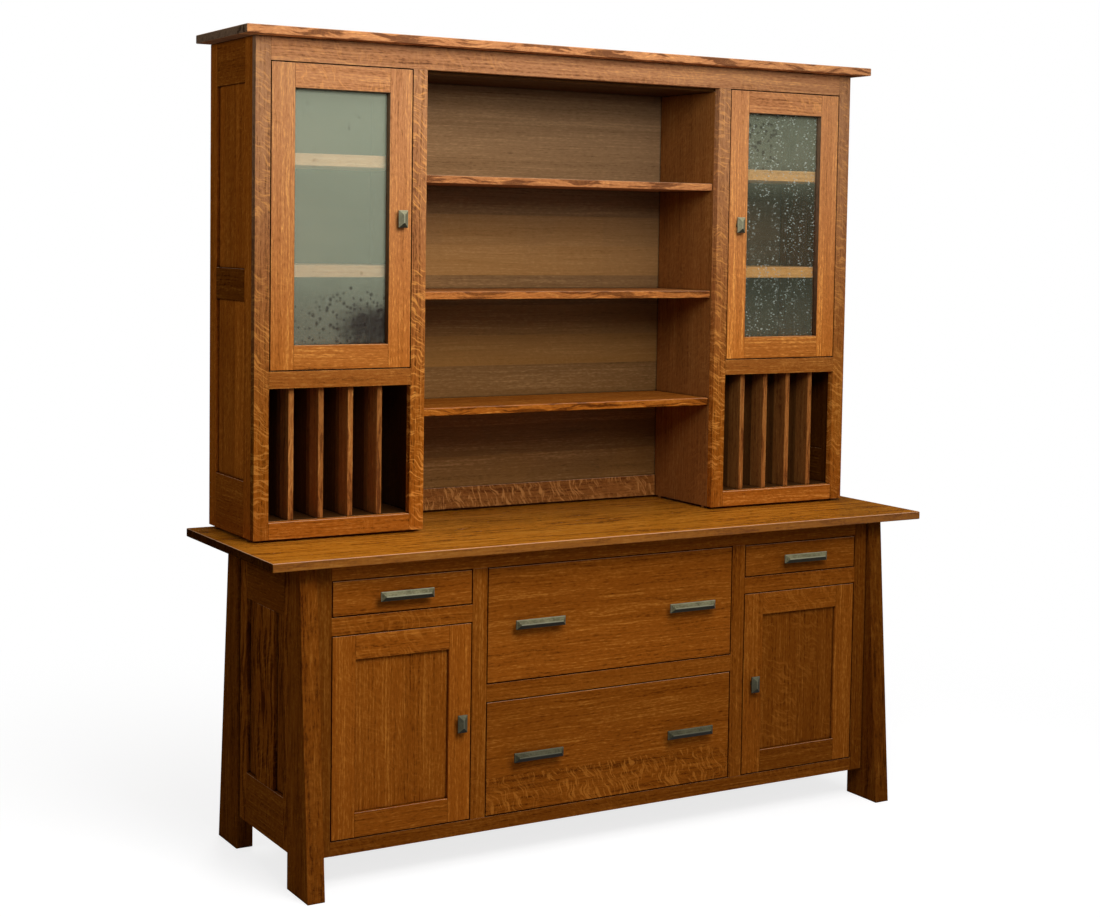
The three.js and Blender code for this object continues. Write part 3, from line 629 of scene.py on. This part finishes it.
# %% Tops
end_stain_and_shade_tone, top_tones, top_ease = 0.22, [1.32, 0.8], 0.002
end_facing, under_facing = 0.9, -0.3


def stained_and_shaded_ends(part):
    """End grain drinks more stain, and painted shade darkens it further: the two faces across the
    grain of a board along x get darker.
    """
    x = part["points"][:, X]
    at_end = np.minimum(x - x.min(), x.max() - x) < square
    part["look"][at_end, 0] = end_stain_and_shade_tone
    return part


top_low, top_high = corners_of("base_top")
top = graded(board(top_low, top_high, X, 1.0, 0.25, 0.3, 0.135, top_ease), Y,
             [top_low[Y], top_high[Y]], top_tones)
top_piece = oak_piece("base_top", [stained_and_shaded_ends(top)], material=top_oak)
top_piece.data.materials.append(stained_oak)
normals = np.empty(len(top_piece.data.polygons) * 3)
top_piece.data.polygons.foreach_get("normal", normals)
normals = normals.reshape(-1, 3)
dull = (np.abs(normals[:, X]) > end_facing) | (normals[:, Z] < under_facing)
top_piece.data.polygons.foreach_set("material_index", dull.astype(np.int32))
print("the top has", int(dull.sum()), "dull faces, at its ends and underneath")
crown_low, crown_high = corners_of("crown")
crown_lip = 0.06
oak_piece("crown", [stained_and_shaded_ends(part) for part in (
    board(crown_low, (crown_high[0], crown_low[1] + crown_lip, crown_high[2]), X, 1.6, 0.1, 1.0,
          ease=top_ease, face=Z),
    board((crown_low[0], crown_low[1] + crown_lip, crown_low[2]), crown_high, X, 1.0, 0.2, 0.1,
          0.13, top_ease))], material=hutch_oak)

# %% [markdown]
# The four legs flare out to the floor at the front and the back. Each is an outline in the plane
# of the dresser's side, carried along x, with its grain upright.

# %% Legs
leg_head = 0.0595
leg_tones = {("front", "left"): 0.85, ("front", "right"): 0.5, ("back", "left"): 0.75,
             ("back", "right"): 0.8}
for row, way in (("front", -1), ("back", 1)):
    for side in sides:
        low, high = corners_of(f"leg_{row}_{side}")
        inner = high[1] if way < 0 else low[1]
        foot = low[1] if way < 0 else high[1]
        profile = [(inner, 0), (foot, 0), (inner + way * leg_head, high[2]), (inner, high[2])]
        tone = leg_tones[row, side]
        oak_piece(f"leg_{row}_{side}", [
            board(low, high, Z, tone, 0.25, 0.25, outline=profile, axis=X, face=Y)])

# %% [markdown]
# Both kinds of side are frame and panel. The members of the frame are separate boards with the
# panel flush against their inner edges, set back from the outside.

# %% Panelled sides
thin = 0.006


def upright(x0, x1, y0, y1, z0, z1, **look):
    return board((x0, y0, z0), (x1, y1, z1), Z, **look)


base_stile, base_muntin, base_recess = 0.043, 0.106, 0.01
base_foot_rail, base_head_rail = 0.119, 0.13
for side, hand in sides.items():
    low, high = corners_of(f"base_side_{side}_frame")
    x0, x1 = low[0], high[0]
    y0, y1, z0, z1 = low[1], high[1], low[2], high[2]
    foot, head = z0 + base_foot_rail, z1 - base_head_rail
    half = base_muntin / 2
    front, rear = y0 + base_stile, y1 - base_stile
    members = [(y0, front, z0, z1, 0.95), (rear, y1, z0, z1, 1.0), (-half, half, foot, head, 0.9)]
    oak_piece(f"base_side_{side}_frame", [
        *(upright(x0, x1, *ends, tone=tone, streak=0.6) for *ends, tone in members),
        *(board((x0, front, a), (x1, rear, b), Y, 0.75) for a, b in ((z0, foot), (head, z1)))])
    face = (x1 if hand > 0 else x0) - hand * base_recess
    oak_piece(f"base_side_{side}_panel", [
        upright(face, face - hand * thin, a, b, foot, head, tone=0.95, streak=0.6)
        for a, b in ((front, -half), (half, rear))])

hutch_stile, hutch_foot_rail, hutch_head_rail, hutch_recess = 0.043, 0.1306, 0.101, 0.008
hutch_mid_rail, hutch_mid_height = 0.074, 1.353
pad_height, inner_shade_skin, inner_shade_tone = 0.0059, 0.006, 0.3


# Painted shade: the boards that face into the cabinets get a dark inner layer.
def with_inner_shade(outer, inner, y0, y1, z0, z1, grain, skin=inner_shade_skin, **look):
    """A board of a side in two layers: the outer one in its own tone, and an inner one darkened as
    painted shade, because it faces into a closed cabinet.
    """
    seam = inner + math.copysign(skin, outer - inner)
    inside = dict(look, tone=inner_shade_tone, ease=hairline)
    return [board((outer, y0, z0), (seam, y1, z1), grain, **look),
            board((seam, y0, z0), (inner, y1, z1), grain, **inside)]


for side, hand in sides.items():
    low, high = corners_of(f"hutch_side_{side}_frame")
    outer, inner = (high[0], low[0]) if hand > 0 else (low[0], high[0])
    y0, y1, z0, z1 = low[1], high[1], low[2] + pad_height, high[2]
    foot, head = z0 + hutch_foot_rail, z1 - hutch_head_rail
    middle = (hutch_mid_height - hutch_mid_rail / 2, hutch_mid_height + hutch_mid_rail / 2)
    rear = y1 - hutch_stile
    front = y0 + hutch_stile
    parts = with_inner_shade(outer, inner, y0, front, z0, z1, Z, tone=1.25)
    parts += with_inner_shade(outer, inner, rear, y1, z0, z1, Z, tone=1.35)
    for a, b, tone in ((z0, foot, 1.1), (*middle, 0.6), (head, z1, 0.95)):
        parts += with_inner_shade(outer, inner, front, rear, a, b, Y, tone=tone)
    oak_piece(f"hutch_side_{side}_frame", parts)
    face = outer - hand * hutch_recess
    parts = []
    for a, b in ((foot, middle[0]), (middle[1], head)):
        parts += with_inner_shade(face, face - hand * thin, front, rear, a, b, Z, thin / 2, tone=1.35,
                       stave=0.075)
    oak_piece(f"hutch_side_{side}_panel", parts)

# %% [markdown]
# The face frames are rails and stiles, flush with one another. On the base the two inner stiles
# stand between the long rails, and short rails cross between them. On the hutch all the stiles
# but the two inner ones run the full height.

# %% Face frames
low, high = corners_of("base_face_frame")
y0, y1, edge, foot, head = low[1], high[1], high[0], low[2], high[2]
stile, bottom_rail, top_rail = 0.039, 0.0331, 0.0408
side_bay, over_door, between = 0.3569, 0.0409, 0.0413
drawer_height, deep_height = 0.0836, 0.2742
bay_outer = edge - stile
bay_inner = bay_outer - side_bay
centre_half = bay_inner - stile
rail_top, drawers_top = foot + bottom_rail, head - top_rail
drawer_foot = drawers_top - drawer_height
door_head = drawer_foot - over_door
lower_top = rail_top + deep_height
upper_foot = lower_top + between


def rail(x0, x1, z0, z1, tone=1.0, fleck=0.2, ease=square):
    return board((x0, y0, z0), (x1, y1, z1), X, tone, fleck, ease=ease)


apron_shade_tones, side_shade_tone, rack_ease = [1.45, 0.8], 0.6, 0.0016
# Painted shade: the rail under the top darkens from its left end to its right.
apron = graded(rail(-bay_outer, bay_outer, drawers_top, head), X, [-bay_outer, bay_outer],
               apron_shade_tones)
parts = [
    rail(-bay_outer, bay_outer, foot, rail_top, tone=0.85, fleck=0.3),
    apron,
    rail(-centre_half, centre_half, lower_top, upper_foot),
]
for hand in sides.values():
    parts += [
        upright(hand * bay_outer, hand * edge, y0, y1, foot, head, tone=0.65, fleck=0.3),
        upright(hand * centre_half, hand * bay_inner, y0, y1, rail_top, drawers_top, tone=0.95),
        rail(hand * bay_inner, hand * bay_outer, door_head, drawer_foot, fleck=0.4),
    ]
oak_piece("base_face_frame", parts)

low, high = corners_of("hutch_face_frame")
y0, y1, edge, foot, head = low[1], high[1], high[0], low[2], high[2]
outer_stile, inner_stile, hutch_bay = 0.0369, 0.0371, 0.3599
rack_rail, rack_height, under_glass, hutch_top_rail = 0.0401, 0.3083, 0.0393, 0.0539
hutch_outer = edge - outer_stile
hutch_inner = hutch_outer - hutch_bay
hutch_half = hutch_inner - inner_stile
rack_foot = foot + rack_rail
rack_head = rack_foot + rack_height
glass_foot = rack_head + under_glass
glass_head = head - hutch_top_rail
parts = [rail(-hutch_outer, hutch_outer, glass_head, head, tone=1.38, fleck=0.35, ease=arris)]
for hand in sides.values():
    outer = upright(hand * hutch_outer, hand * edge, y0, y1, foot, head, tone=1.1, fleck=1.0)
    # Painted shade: the outer side faces of the outer stiles are darker.
    outer["look"][np.abs(outer["points"][:, X]) > edge - square, 0] = side_shade_tone
    parts += [
        outer,
        upright(hand * hutch_half, hand * hutch_inner, y0, y1, foot, glass_head, tone=1.1,
                fleck=1.0),
        rail(hand * hutch_inner, hand * hutch_outer, foot, rack_foot, tone=1.3, ease=rack_ease),
        rail(hand * hutch_inner, hand * hutch_outer, rack_head, glass_foot, tone=1.02, fleck=0.3),
    ]
oak_piece("hutch_face_frame", parts, material=hutch_oak)

# %% [markdown]
# Inside the base are a floor, two partitions and a back. The partitions carry the web under each
# small drawer, and the guides and runners on which all four drawers slide.

# %% Inside the base
board_thickness, guide, guide_height, runner = 0.018, 0.013, 0.024, 0.02
guide_proud = 0.0015
floor_low, floor_high = corners_of("base_floor")
notch = 0.155


def inner_piece(node, parts):
    """A piece of the inside: inner oak, standing for the node of that name."""
    return oak_piece(node, parts, material=inner_oak)


inner_piece("base_floor", [
    board((-edge_x, y_a, floor_low[2]), (edge_x, y_b, floor_high[2]), X, 0.8, stave=0.12)
    for edge_x, y_a, y_b in ((bay_outer + stile, floor_low[1], -notch),
                             (floor_high[0], -notch, notch),
                             (bay_outer + stile, notch, floor_high[1]))])
wall = centre_half + (stile - board_thickness) / 2
wall_outer = wall + board_thickness
leg_inner = bay_outer + stile
catch_half, catch_lap, catch_depth, catch_gap = 0.03, 0.014, 0.012, 0.0223


def door_catch(x0, x1, face_y, middle, **look):
    """The small strip that stands behind a face frame and meets the closed door."""
    front = face_y + catch_gap
    return upright(x0, x1, front, front + catch_depth, middle - catch_half, middle + catch_half,
                   **look)


for side, hand in sides.items():
    low, high = corners_of(f"base_partition_{side}")
    y0, y1 = low[1], high[1]
    face_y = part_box("base_face_frame")[0][1]
    proud = centre_half - guide_proud
    web_foot = drawer_foot - board_thickness
    strips = [
        (wall_outer, leg_inner, web_foot, drawer_foot),
        (wall_outer, bay_inner + guide_proud, drawer_foot, drawer_foot + guide_height),
        (bay_outer - guide_proud, bay_outer - guide_proud + guide, drawer_foot,
         drawer_foot + guide_height),
        (proud, wall, rail_top, rail_top + guide_height),
        (proud, wall, upper_foot, upper_foot + guide_height),
        (centre_half - runner, wall, upper_foot - board_thickness, upper_foot),
    ]
    parts = [board((hand * a, y0, c), (hand * b, y1, d), Y, 0.9) for a, b, c, d in strips]
    parts.append(upright(hand * wall, hand * wall_outer, y0, y1, rail_top, high[2], tone=0.8,
                         stave=0.12))
    middle = (rail_top + door_head) / 2
    parts.append(door_catch(hand * wall_outer, hand * (bay_inner + catch_lap), face_y, middle))
    inner_piece(f"base_partition_{side}", parts)
low, high = corners_of("base_back")
inner_piece("base_back", [board(low, high, Z, 0.85, 0.15, stave=0.16)])

# %% [markdown]
# The hutch has two partitions, one thin back, a ceiling, and a low rail at the foot of the middle
# bay that is cut from the most figured oak of all. It stands on short round pads, so a dark gap
# shows between it and the top.

# %% Inside the hutch
pad_radius, pad_sides, pad_inset = 0.009, 16, 0.022


def turned(radius, low, high, axis, centre, tone=0.6, ease=0.0006):
    """A round pin between two heights on one axis: a many-sided outline carried along it."""
    angles = np.arange(pad_sides) * 2 * math.pi / pad_sides
    circle = np.column_stack([np.cos(angles), np.sin(angles)]) * radius + np.asarray(centre)
    corner_low, corner_high = np.zeros(3), np.full(3, radius)
    corner_low[axis], corner_high[axis] = low, high
    return board(corner_low, corner_high, axis, tone, 0, ease=ease, outline=circle, axis=axis)


pad_places = [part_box("hutch_face_frame")[1][1] + pad_inset,
              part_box("hutch_back")[0][1] - pad_inset]
back_low, back_high = corners_of("hutch_back")
for side, hand in sides.items():
    low, high = corners_of(f"hutch_partition_{side}")
    x0, x1 = hand * hutch_half, hand * (hutch_half + board_thickness)
    z0 = low[2] + pad_height
    face_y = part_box("hutch_face_frame")[0][1]
    middle = (glass_foot + glass_head) / 2
    parts = [
        *with_inner_shade(x0, x1, low[1], high[1], z0, high[2], Z, tone=1.1, fleck=0.35, stave=0.12),
        door_catch(x1, hand * (hutch_inner + catch_lap), face_y, middle, tone=0.4),
    ]
    side_low, side_high = corners_of(f"hutch_side_{side}_frame")
    parts += [turned(pad_radius, low[2], z0, Z, (x, y))
              for x in ((x0 + x1) / 2, (side_low[0] + side_high[0]) / 2) for y in pad_places]
    oak_piece(f"hutch_partition_{side}", parts, material=inner_oak)

apron_low, apron_high = corners_of("hutch_back_rail")
bays = [(-hutch_half, hutch_half, apron_high[2], 1.02)]
# Painted shade: the back behind the glass doors is drawn dark.
bays += [(hand * hutch_half, hand * back_high[0], back_low[2], 0.2) for hand in sides.values()]
middle_y = (back_low[1] + back_high[1]) / 2
front_stave, rear_stave = 0.078, 0.118
fronts = [board((a, back_low[1], z), (b, middle_y, back_high[2]), X, tone, 0.1, 0.0, front_stave,
                hairline) for a, b, z, tone in bays]
rears = [board((a, middle_y, z), (b, back_high[1], back_high[2]), X, 1.15, 0.1, 0.0, rear_stave,
               hairline) for a, b, z, tone in bays]
for part in rears:  # one figure runs on over all three
    part["grain"] = part["points"][:, [X, Z, Y]]
    part["board"][:, 0] = rears[0]["board"][0, 0]
# Painted shade: the back of the middle bay darkens from left to right.
bay_shade_tones = [1.2, 0.78]
graded(fronts[0], X, [-hutch_half, hutch_half], bay_shade_tones)
oak_piece("hutch_back", fronts + rears, material=back_oak)
rail_foot, lip, shade_strip_reach = back_low[2], 0.008, 0.03
# Painted shade: a thin dark strip fills the gap under the rail and reaches under the partitions,
# where no light shows.
oak_piece("hutch_back_rail", [
    board((apron_low[0], apron_low[1], rail_foot), apron_high, X, 1.15, 1.4, 0.1),
    board((apron_low[0] - shade_strip_reach, apron_high[1] - lip, apron_low[2]),
          (apron_high[0] + shade_strip_reach, apron_high[1], rail_foot + arris), X, 0.4, ease=hairline),
], material=inner_oak)
low, high = corners_of("hutch_ceiling")
inner_piece("hutch_ceiling", [board(low, high, X, 0.25)])

# %% [markdown]
# The open shelves are boards with a flat-sawn front edge. The shelves behind the glass are drawn
# a good deal paler: paler oak, brightened further as painted light. Their front edges are what can
# be seen through the panes.

# %% Shelves
shelf_lip = 0.02
for level in ("lower", "middle", "upper"):
    low, high = corners_of(f"centre_shelf_{level}")
    lip = low[1] + shelf_lip
    oak_piece(f"centre_shelf_{level}", [
        board(low, (high[0], lip, high[2]), X, 1.45, 0.1, 0.8, face=Z),
        board((low[0], lip, low[2]), high, X, 0.9, 0.3, stave=0.11)], material=hutch_oak)
shelf_woods = {
    "left": stained_wood("pale_oak", hue(0.50, 0.25, 0.11), hue(0.82, 0.46, 0.23),
                         hue(0.95, 0.61, 0.35), 0.45, 0.05),
    "right": stained_wood("golden_oak", hue(0.36, 0.155, 0.03), hue(0.58, 0.28, 0.07),
                          hue(0.74, 0.41, 0.13), 0.45, 0.05),
}
shelf_tones = {"lower": 0.98, "upper": 1.2}
for side, wood in shelf_woods.items():
    for level in ("lower", "upper"):
        low, high = corners_of(f"cabinet_shelf_{side}_{level}")
        oak_piece(f"cabinet_shelf_{side}_{level}",
                  [board(low, high, X, shelf_tones[level], 0.1)], material=wood)

# %% [markdown]
# A letter rack is a floor and a top board with four thin dividers housed between them. Each
# divider is drawn in bands from the front: a painted highlight on the front edge, then browner
# sides, and from a little way in a painted shade that makes the slots nearly black.

# %% Letter racks
divider, divider_pitch, divider_shift, divider_count = 0.013, 0.0752, 0.0045, 4
divider_tones = {"left": 1.9, "right": 0.8}
for side, hand in sides.items():
    low, high = corners_of(f"letter_rack_{side}")
    parts = [
        board(low, (high[0], high[1], rack_foot), X, 0.2),
        board((low[0], low[1], glass_foot - board_thickness), high, X, 0.4),
    ]
    first = (hutch_inner + hutch_outer) / 2 + divider_shift
    first = first - divider_pitch * (divider_count - 1) / 2
    brown = divider_tones[side]
    # Painted light along each divider: a highlight at the front edge, then brown, then painted
    # shade deeper in.
    bands = [(0.0025, 1.35, 0.5), (0.05, brown, 0.2), (0.07, brown / 2, 0.1), (1.0, 0.5, 0.0)]
    for i in range(divider_count):
        x = hand * (first + i * divider_pitch)
        y_a = low[1]
        for reach_in, tone, streak in bands:
            y_b = min(low[1] + reach_in, high[1])
            parts.append(upright(x - divider / 2, x + divider / 2, y_a, y_b, rack_foot,
                                 glass_foot - board_thickness, tone=tone, fleck=0.1, streak=streak,
                                 ease=square))
            y_a = y_b
    oak_piece(f"letter_rack_{side}", parts, material=inner_oak)

# %% [markdown]
# All four doors are frame and panel, with the stiles full height and the rails between them. The
# hutch doors are a shade paler and redder than the rest, and hold glass in place of a panel. Doors
# and drawer fronts are drawn a hair smaller than they are, so that their gaps read as dark lines.

# %% Doors
door_stile, door_rail, door_recess, shy = 0.0573, 0.056, 0.009, 0.0006
pivot_reach, door_gap = 0.008, 0.002
pane_recess, pane = 0.0175, 0.003
foot_rail_share, head_rail_share, head_rail_fleck = 0.84, 1.03, 0.5
pin_radius, pin_share = 0.0025, 0.8


def door_boards(node, tone, fleck):
    """Two stiles, two rails, and the corners of the light between them."""
    low, high = corners_of(node)
    z0, z1 = low[2] + pivot_reach + shy, high[2] - pivot_reach - shy
    x0, x1, y0, y1 = low[0] + shy, high[0] - shy, low[1], high[1]
    a, b, c, d = x0 + door_stile, x1 - door_stile, z0 + door_rail, z1 - door_rail
    parts = [upright(*ends, y0, y1, z0, z1, tone=tone, fleck=fleck) for ends in ((x0, a), (b, x1))]
    parts += [board((a, y0, z0), (b, y1, c), X, tone * foot_rail_share, fleck),
              board((a, y0, d), (b, y1, z1), X, tone * head_rail_share, head_rail_fleck)]
    return parts, (a, b, c, d), y0


def pivots(kind, side):
    """The short stretch of each pivot pin that shows in the gap over and under a door."""
    body = f"{kind}_door_{side}"
    joint = next(j for j in frame["joints"] if j["child"] == body)
    low, high = corners_of(body + "_frame")
    centre = joint["pos_m"][:2]
    gap = door_gap * pin_share
    places = [(low[2] + pivot_reach - gap, low[2] + pivot_reach),
              (high[2] - pivot_reach, high[2] - pivot_reach + gap)]
    parts = [turned(pin_radius, a, b, Z, centre, 0.2, hairline) for a, b in places]
    piece(body + "_pivots", parts, body, pewter)


base_door_tones = {"left": 1.25, "right": 0.92}
for side, tone in base_door_tones.items():
    body = f"base_door_{side}"
    parts, (a, b, c, d), y0 = door_boards(body + "_frame", tone, 0.25)
    oak_piece(body + "_frame", parts, body)
    oak_piece(body + "_panel", [
        upright(a, b, y0 + door_recess, y0 + door_recess + thin, c, d, tone=tone * 0.85,
                fleck=0.5 if side == "right" else 0.25, stave=0.12)], body)
    pivots("base", side)

pane_steps = (26, 60)


def rippled_pane(x0, x1, y0, y1, z0, z1):
    """Front and back are grids whose depth is a sum of slow waves; a rim closes the two."""
    u, v = np.meshgrid(np.linspace(0, 1, pane_steps[0]), np.linspace(0, 1, pane_steps[1]))
    wave = 0.00025 * (np.sin(9 * u + 3 * v) * np.sin(14 * v - 2 * u))
    edge = np.minimum(np.minimum(u, 1 - u), np.minimum(v, 1 - v))
    wave = wave * np.clip(edge * 12, 0, 1)
    x, z = x0 + u * (x1 - x0), z0 + v * (z1 - z0)
    front = np.stack([x, y0 + np.abs(wave), z], -1).reshape(-1, 3)
    rear = np.stack([x, y1 - np.abs(wave), z], -1).reshape(-1, 3)
    index = np.arange(u.size).reshape(u.shape)
    quads = np.stack([index[:-1, :-1], index[:-1, 1:], index[1:, 1:], index[1:, :-1]], -1)
    quads = quads.reshape(-1, 4)
    rim = np.r_[index[0, :-1], index[:-1, -1], index[-1, :0:-1], index[:0:-1, 0]]
    ahead = np.roll(rim, -1)
    walls = np.stack([ahead, rim, rim + u.size, ahead + u.size], -1)
    points = np.vstack([front, rear])
    faces = np.vstack([quads, quads[:, ::-1] + u.size, walls]).tolist()
    plain = np.zeros_like(points)
    return {"points": points, "faces": faces, "grain": points, "look": plain, "board": plain}


shaded, shaded_from, shaded_tone, shaded_ease = 0.0006, 0.001, 0.22, 0.0001
hutch_door_tones = {"left": 1.5, "right": 1.65}
for side, glass in (("left", left_glass), ("right", right_glass)):
    body = f"hutch_door_{side}"
    parts, (a, b, c, d), y0 = door_boards(body + "_frame", hutch_door_tones[side], 0.2)
    # Painted shade: thin dark boards line the rebate at both sides and at the head of the light.
    inside = [((a, c), (a + shaded, d), Z), ((b - shaded, c), (b, d), Z),
              ((a, d - shaded), (b, d), X)]
    parts += [board((low_x, y0 + shaded_from, low_z), (high_x, y0 + pane_recess, high_z), grain,
                    shaded_tone, ease=shaded_ease)
              for (low_x, low_z), (high_x, high_z), grain in inside]
    oak_piece(body + "_frame", parts, body, hutch_oak)
    pane_part = rippled_pane(a, b, y0 + pane_recess, y0 + pane_recess + pane, c, d)
    made = piece(body + "_pane", [pane_part], body, glass, [body + "_glass"])
    made.data.shade_smooth()
    pivots("hutch", side)

# %% [markdown]
# Each drawer is a front with a thin-walled box behind it. The boxes are drawn as a pale hardwood
# with a clear finish, which is a guess: they are out of sight until a drawer is pulled out. Painted
# shade darkens the two deep fronts a little to their upper edge.

# %% Drawers
box_wall, box_floor, box_raise, box_gap = 0.012, 0.006, 0.01, 0.0003
front_arris, deep_shade_tones = 0.0014, [1.0, 0.86]
tail_length, tail_flare, tail_pitch, tail_share = 0.014, 0.002, 0.036, 0.62
looks = {
    "side_drawer_left": (1.25, 0.1, 0.1, undivided, undivided),
    "side_drawer_right": (0.85, 0.1, 0.1, undivided, undivided),
    "centre_drawer_upper": (1.12, 0.12, 0.1, 0.11, undivided),
    "centre_drawer_lower": (1.04, 1.0, 0.05, 0.09, 0.09),
}


def tails_and_pins(z0, z1):
    """Heights of the tails' middles, and half their widths at the tip and at the root."""
    count = round((z1 - z0) / tail_pitch)
    pitch = (z1 - z0) / count
    tip = pitch * tail_share / 2
    return z0 + pitch * (np.arange(count) + 0.5), tip, tip - tail_flare


for body, (tone, fleck, streak, stave, figured) in looks.items():
    front_low, front_high = corners_of(body + "_front")
    low, high = corners_of(body + "_box")
    (x0, _, z0), (x1, y1, z1) = low, high
    y0 = front_high[1] + box_gap
    tip_y = y0 - tail_length
    floor_z = z0 + box_raise
    middles, tip, root = tails_and_pins(z0, z1)
    socket_y = tip_y - box_gap
    wall = box_wall + box_gap
    front_z0, front_z1 = front_low[2], front_high[2]
    face_low, face_high = front_low + (shy, 0, shy), front_high - (shy, 0, shy)
    cut = (X, tone, fleck, streak, stave)
    parts = [board(face_low, (face_high[0], socket_y, face_high[2]), *cut, front_arris,
                   figured=figured)]
    if body.startswith("centre"):
        graded(parts[0], Z, [front_z0, front_z1], deep_shade_tones)
    parts.append(board((x0 + wall, socket_y, front_z0), (x1 - wall, y0 - box_gap, front_z1),
                       *cut, hairline))
    tips = [middles - tip - box_gap, middles + tip + box_gap]
    roots = [middles - root - box_gap, middles + root + box_gap]
    pin_feet = zip(np.r_[front_z0, tips[1]], np.r_[front_z0, roots[1]])
    pin_heads = zip(np.r_[tips[0], front_z1], np.r_[roots[0], front_z1])
    for (foot_tip, foot_root), (head_tip, head_root) in zip(pin_feet, pin_heads):
        shape = [(socket_y, foot_tip), (y0 - box_gap, foot_root), (y0 - box_gap, head_root),
                 (socket_y, head_tip)]
        parts += [board((a, 0, 0), (b, 1, 1), *cut, hairline, shape, X)
                  for a, b in ((x0, x0 + wall), (x1 - wall, x1))]
    oak_piece(body + "_front", parts, body)
    parts = [
        board((x0, y0, z0), (x0 + box_wall, y1, z1), Y),
        board((x1 - box_wall, y0, z0), (x1, y1, z1), Y),
        board((x0 + box_wall, y1 - box_wall, z0), (x1 - box_wall, y1, z1), X),
        board((x0 + box_wall, y0, floor_z), (x1 - box_wall, y1 - box_wall, floor_z + box_floor), X,
              0.9, 0.1, stave=0.15, ease=square),
    ]
    for middle in middles:
        shape = [(y0, middle - root), (tip_y, middle - tip), (tip_y, middle + tip),
                 (y0, middle + root)]
        parts += [board((a, 0, 0), (b, 1, 1), Y, 0.8, ease=hairline, outline=shape, axis=X)
                  for a, b in ((x0, x0 + box_wall), (x1 - box_wall, x1))]
    oak_piece(body + "_box", parts, body, drawer_wood)

# %% [markdown]
# Pulls and knobs have the same form: a flat bar with four faces that slope up to a ridge, held off
# the wood by posts. The bar is a rectangle that is drawn in station by station, so each sloping
# face is flat and the edges between them are crisp but not sharp.

# %% Pulls and knobs
def cast_bar(node, body, bar_depth, rise, post_radius, spots, wear_and_painted_light=0.0):
    """Stations from the back of the bar to its ridge. Rubbed metal shows at the rim and ridge, and
    to the given share on the sloping faces between them, which on the knobs is also a painted
    highlight."""
    low, high = corners_of(node)
    (x0, y0, z0), (x1, y1, z1) = low, high
    crisp = 0.0007
    ridge, rim = 1.4 * crisp, 2.5 * crisp
    run = min(x1 - x0, z1 - z0) / 2 - ridge
    rear = y0 + bar_depth + rise
    slope = rise / (run - crisp)
    insets = np.array([crisp, 0, 0, crisp, rim, run - crisp, run])
    depths = np.array([0, crisp, bar_depth - crisp, *(bar_depth + (insets[3:] - crisp) * slope)])
    rub = np.array([0.1, 0.1, 0.3, 0.4, wear_and_painted_light, wear_and_painted_light, 0.7])
    outline = [(-z1, x0), (-z0, x0), (-z0, x1), (-z1, x1)]
    grid = rings(outline, crisp, insets, depths)
    places = np.stack([grid[..., 1], rear - grid[..., 2], -grid[..., 0]], -1)
    points, faces = shell(places)
    rub_and_highlight = np.repeat(rub, grid.shape[1])
    look = np.column_stack([rub_and_highlight, np.zeros((len(points), 2))])
    parts = [{"points": points, "faces": faces, "grain": points, "look": look,
              "board": np.zeros_like(points)}]
    middle = ((x0 + x1) / 2, (z0 + z1) / 2)
    parts += [turned(post_radius, rear - 0.0005, y1, Y, (middle[1], middle[0] + spot), 0.1)
              for spot in spots]
    piece(node + "_cast", parts, body, pewter, [node])


pull_posts = (-0.048, 0.048)
for body in looks:
    for node in sorted(frame["nodes"]):
        if node.startswith(body + "_pull"):
            cast_bar(node, body, 0.005, 0.007, 0.005, pull_posts)
for side in sides:
    for kind in ("base", "hutch"):
        body = f"{kind}_door_{side}"
        cast_bar(body + "_knob", body, 0.005, 0.006, 0.006, (0,), wear_and_painted_light=0.2)
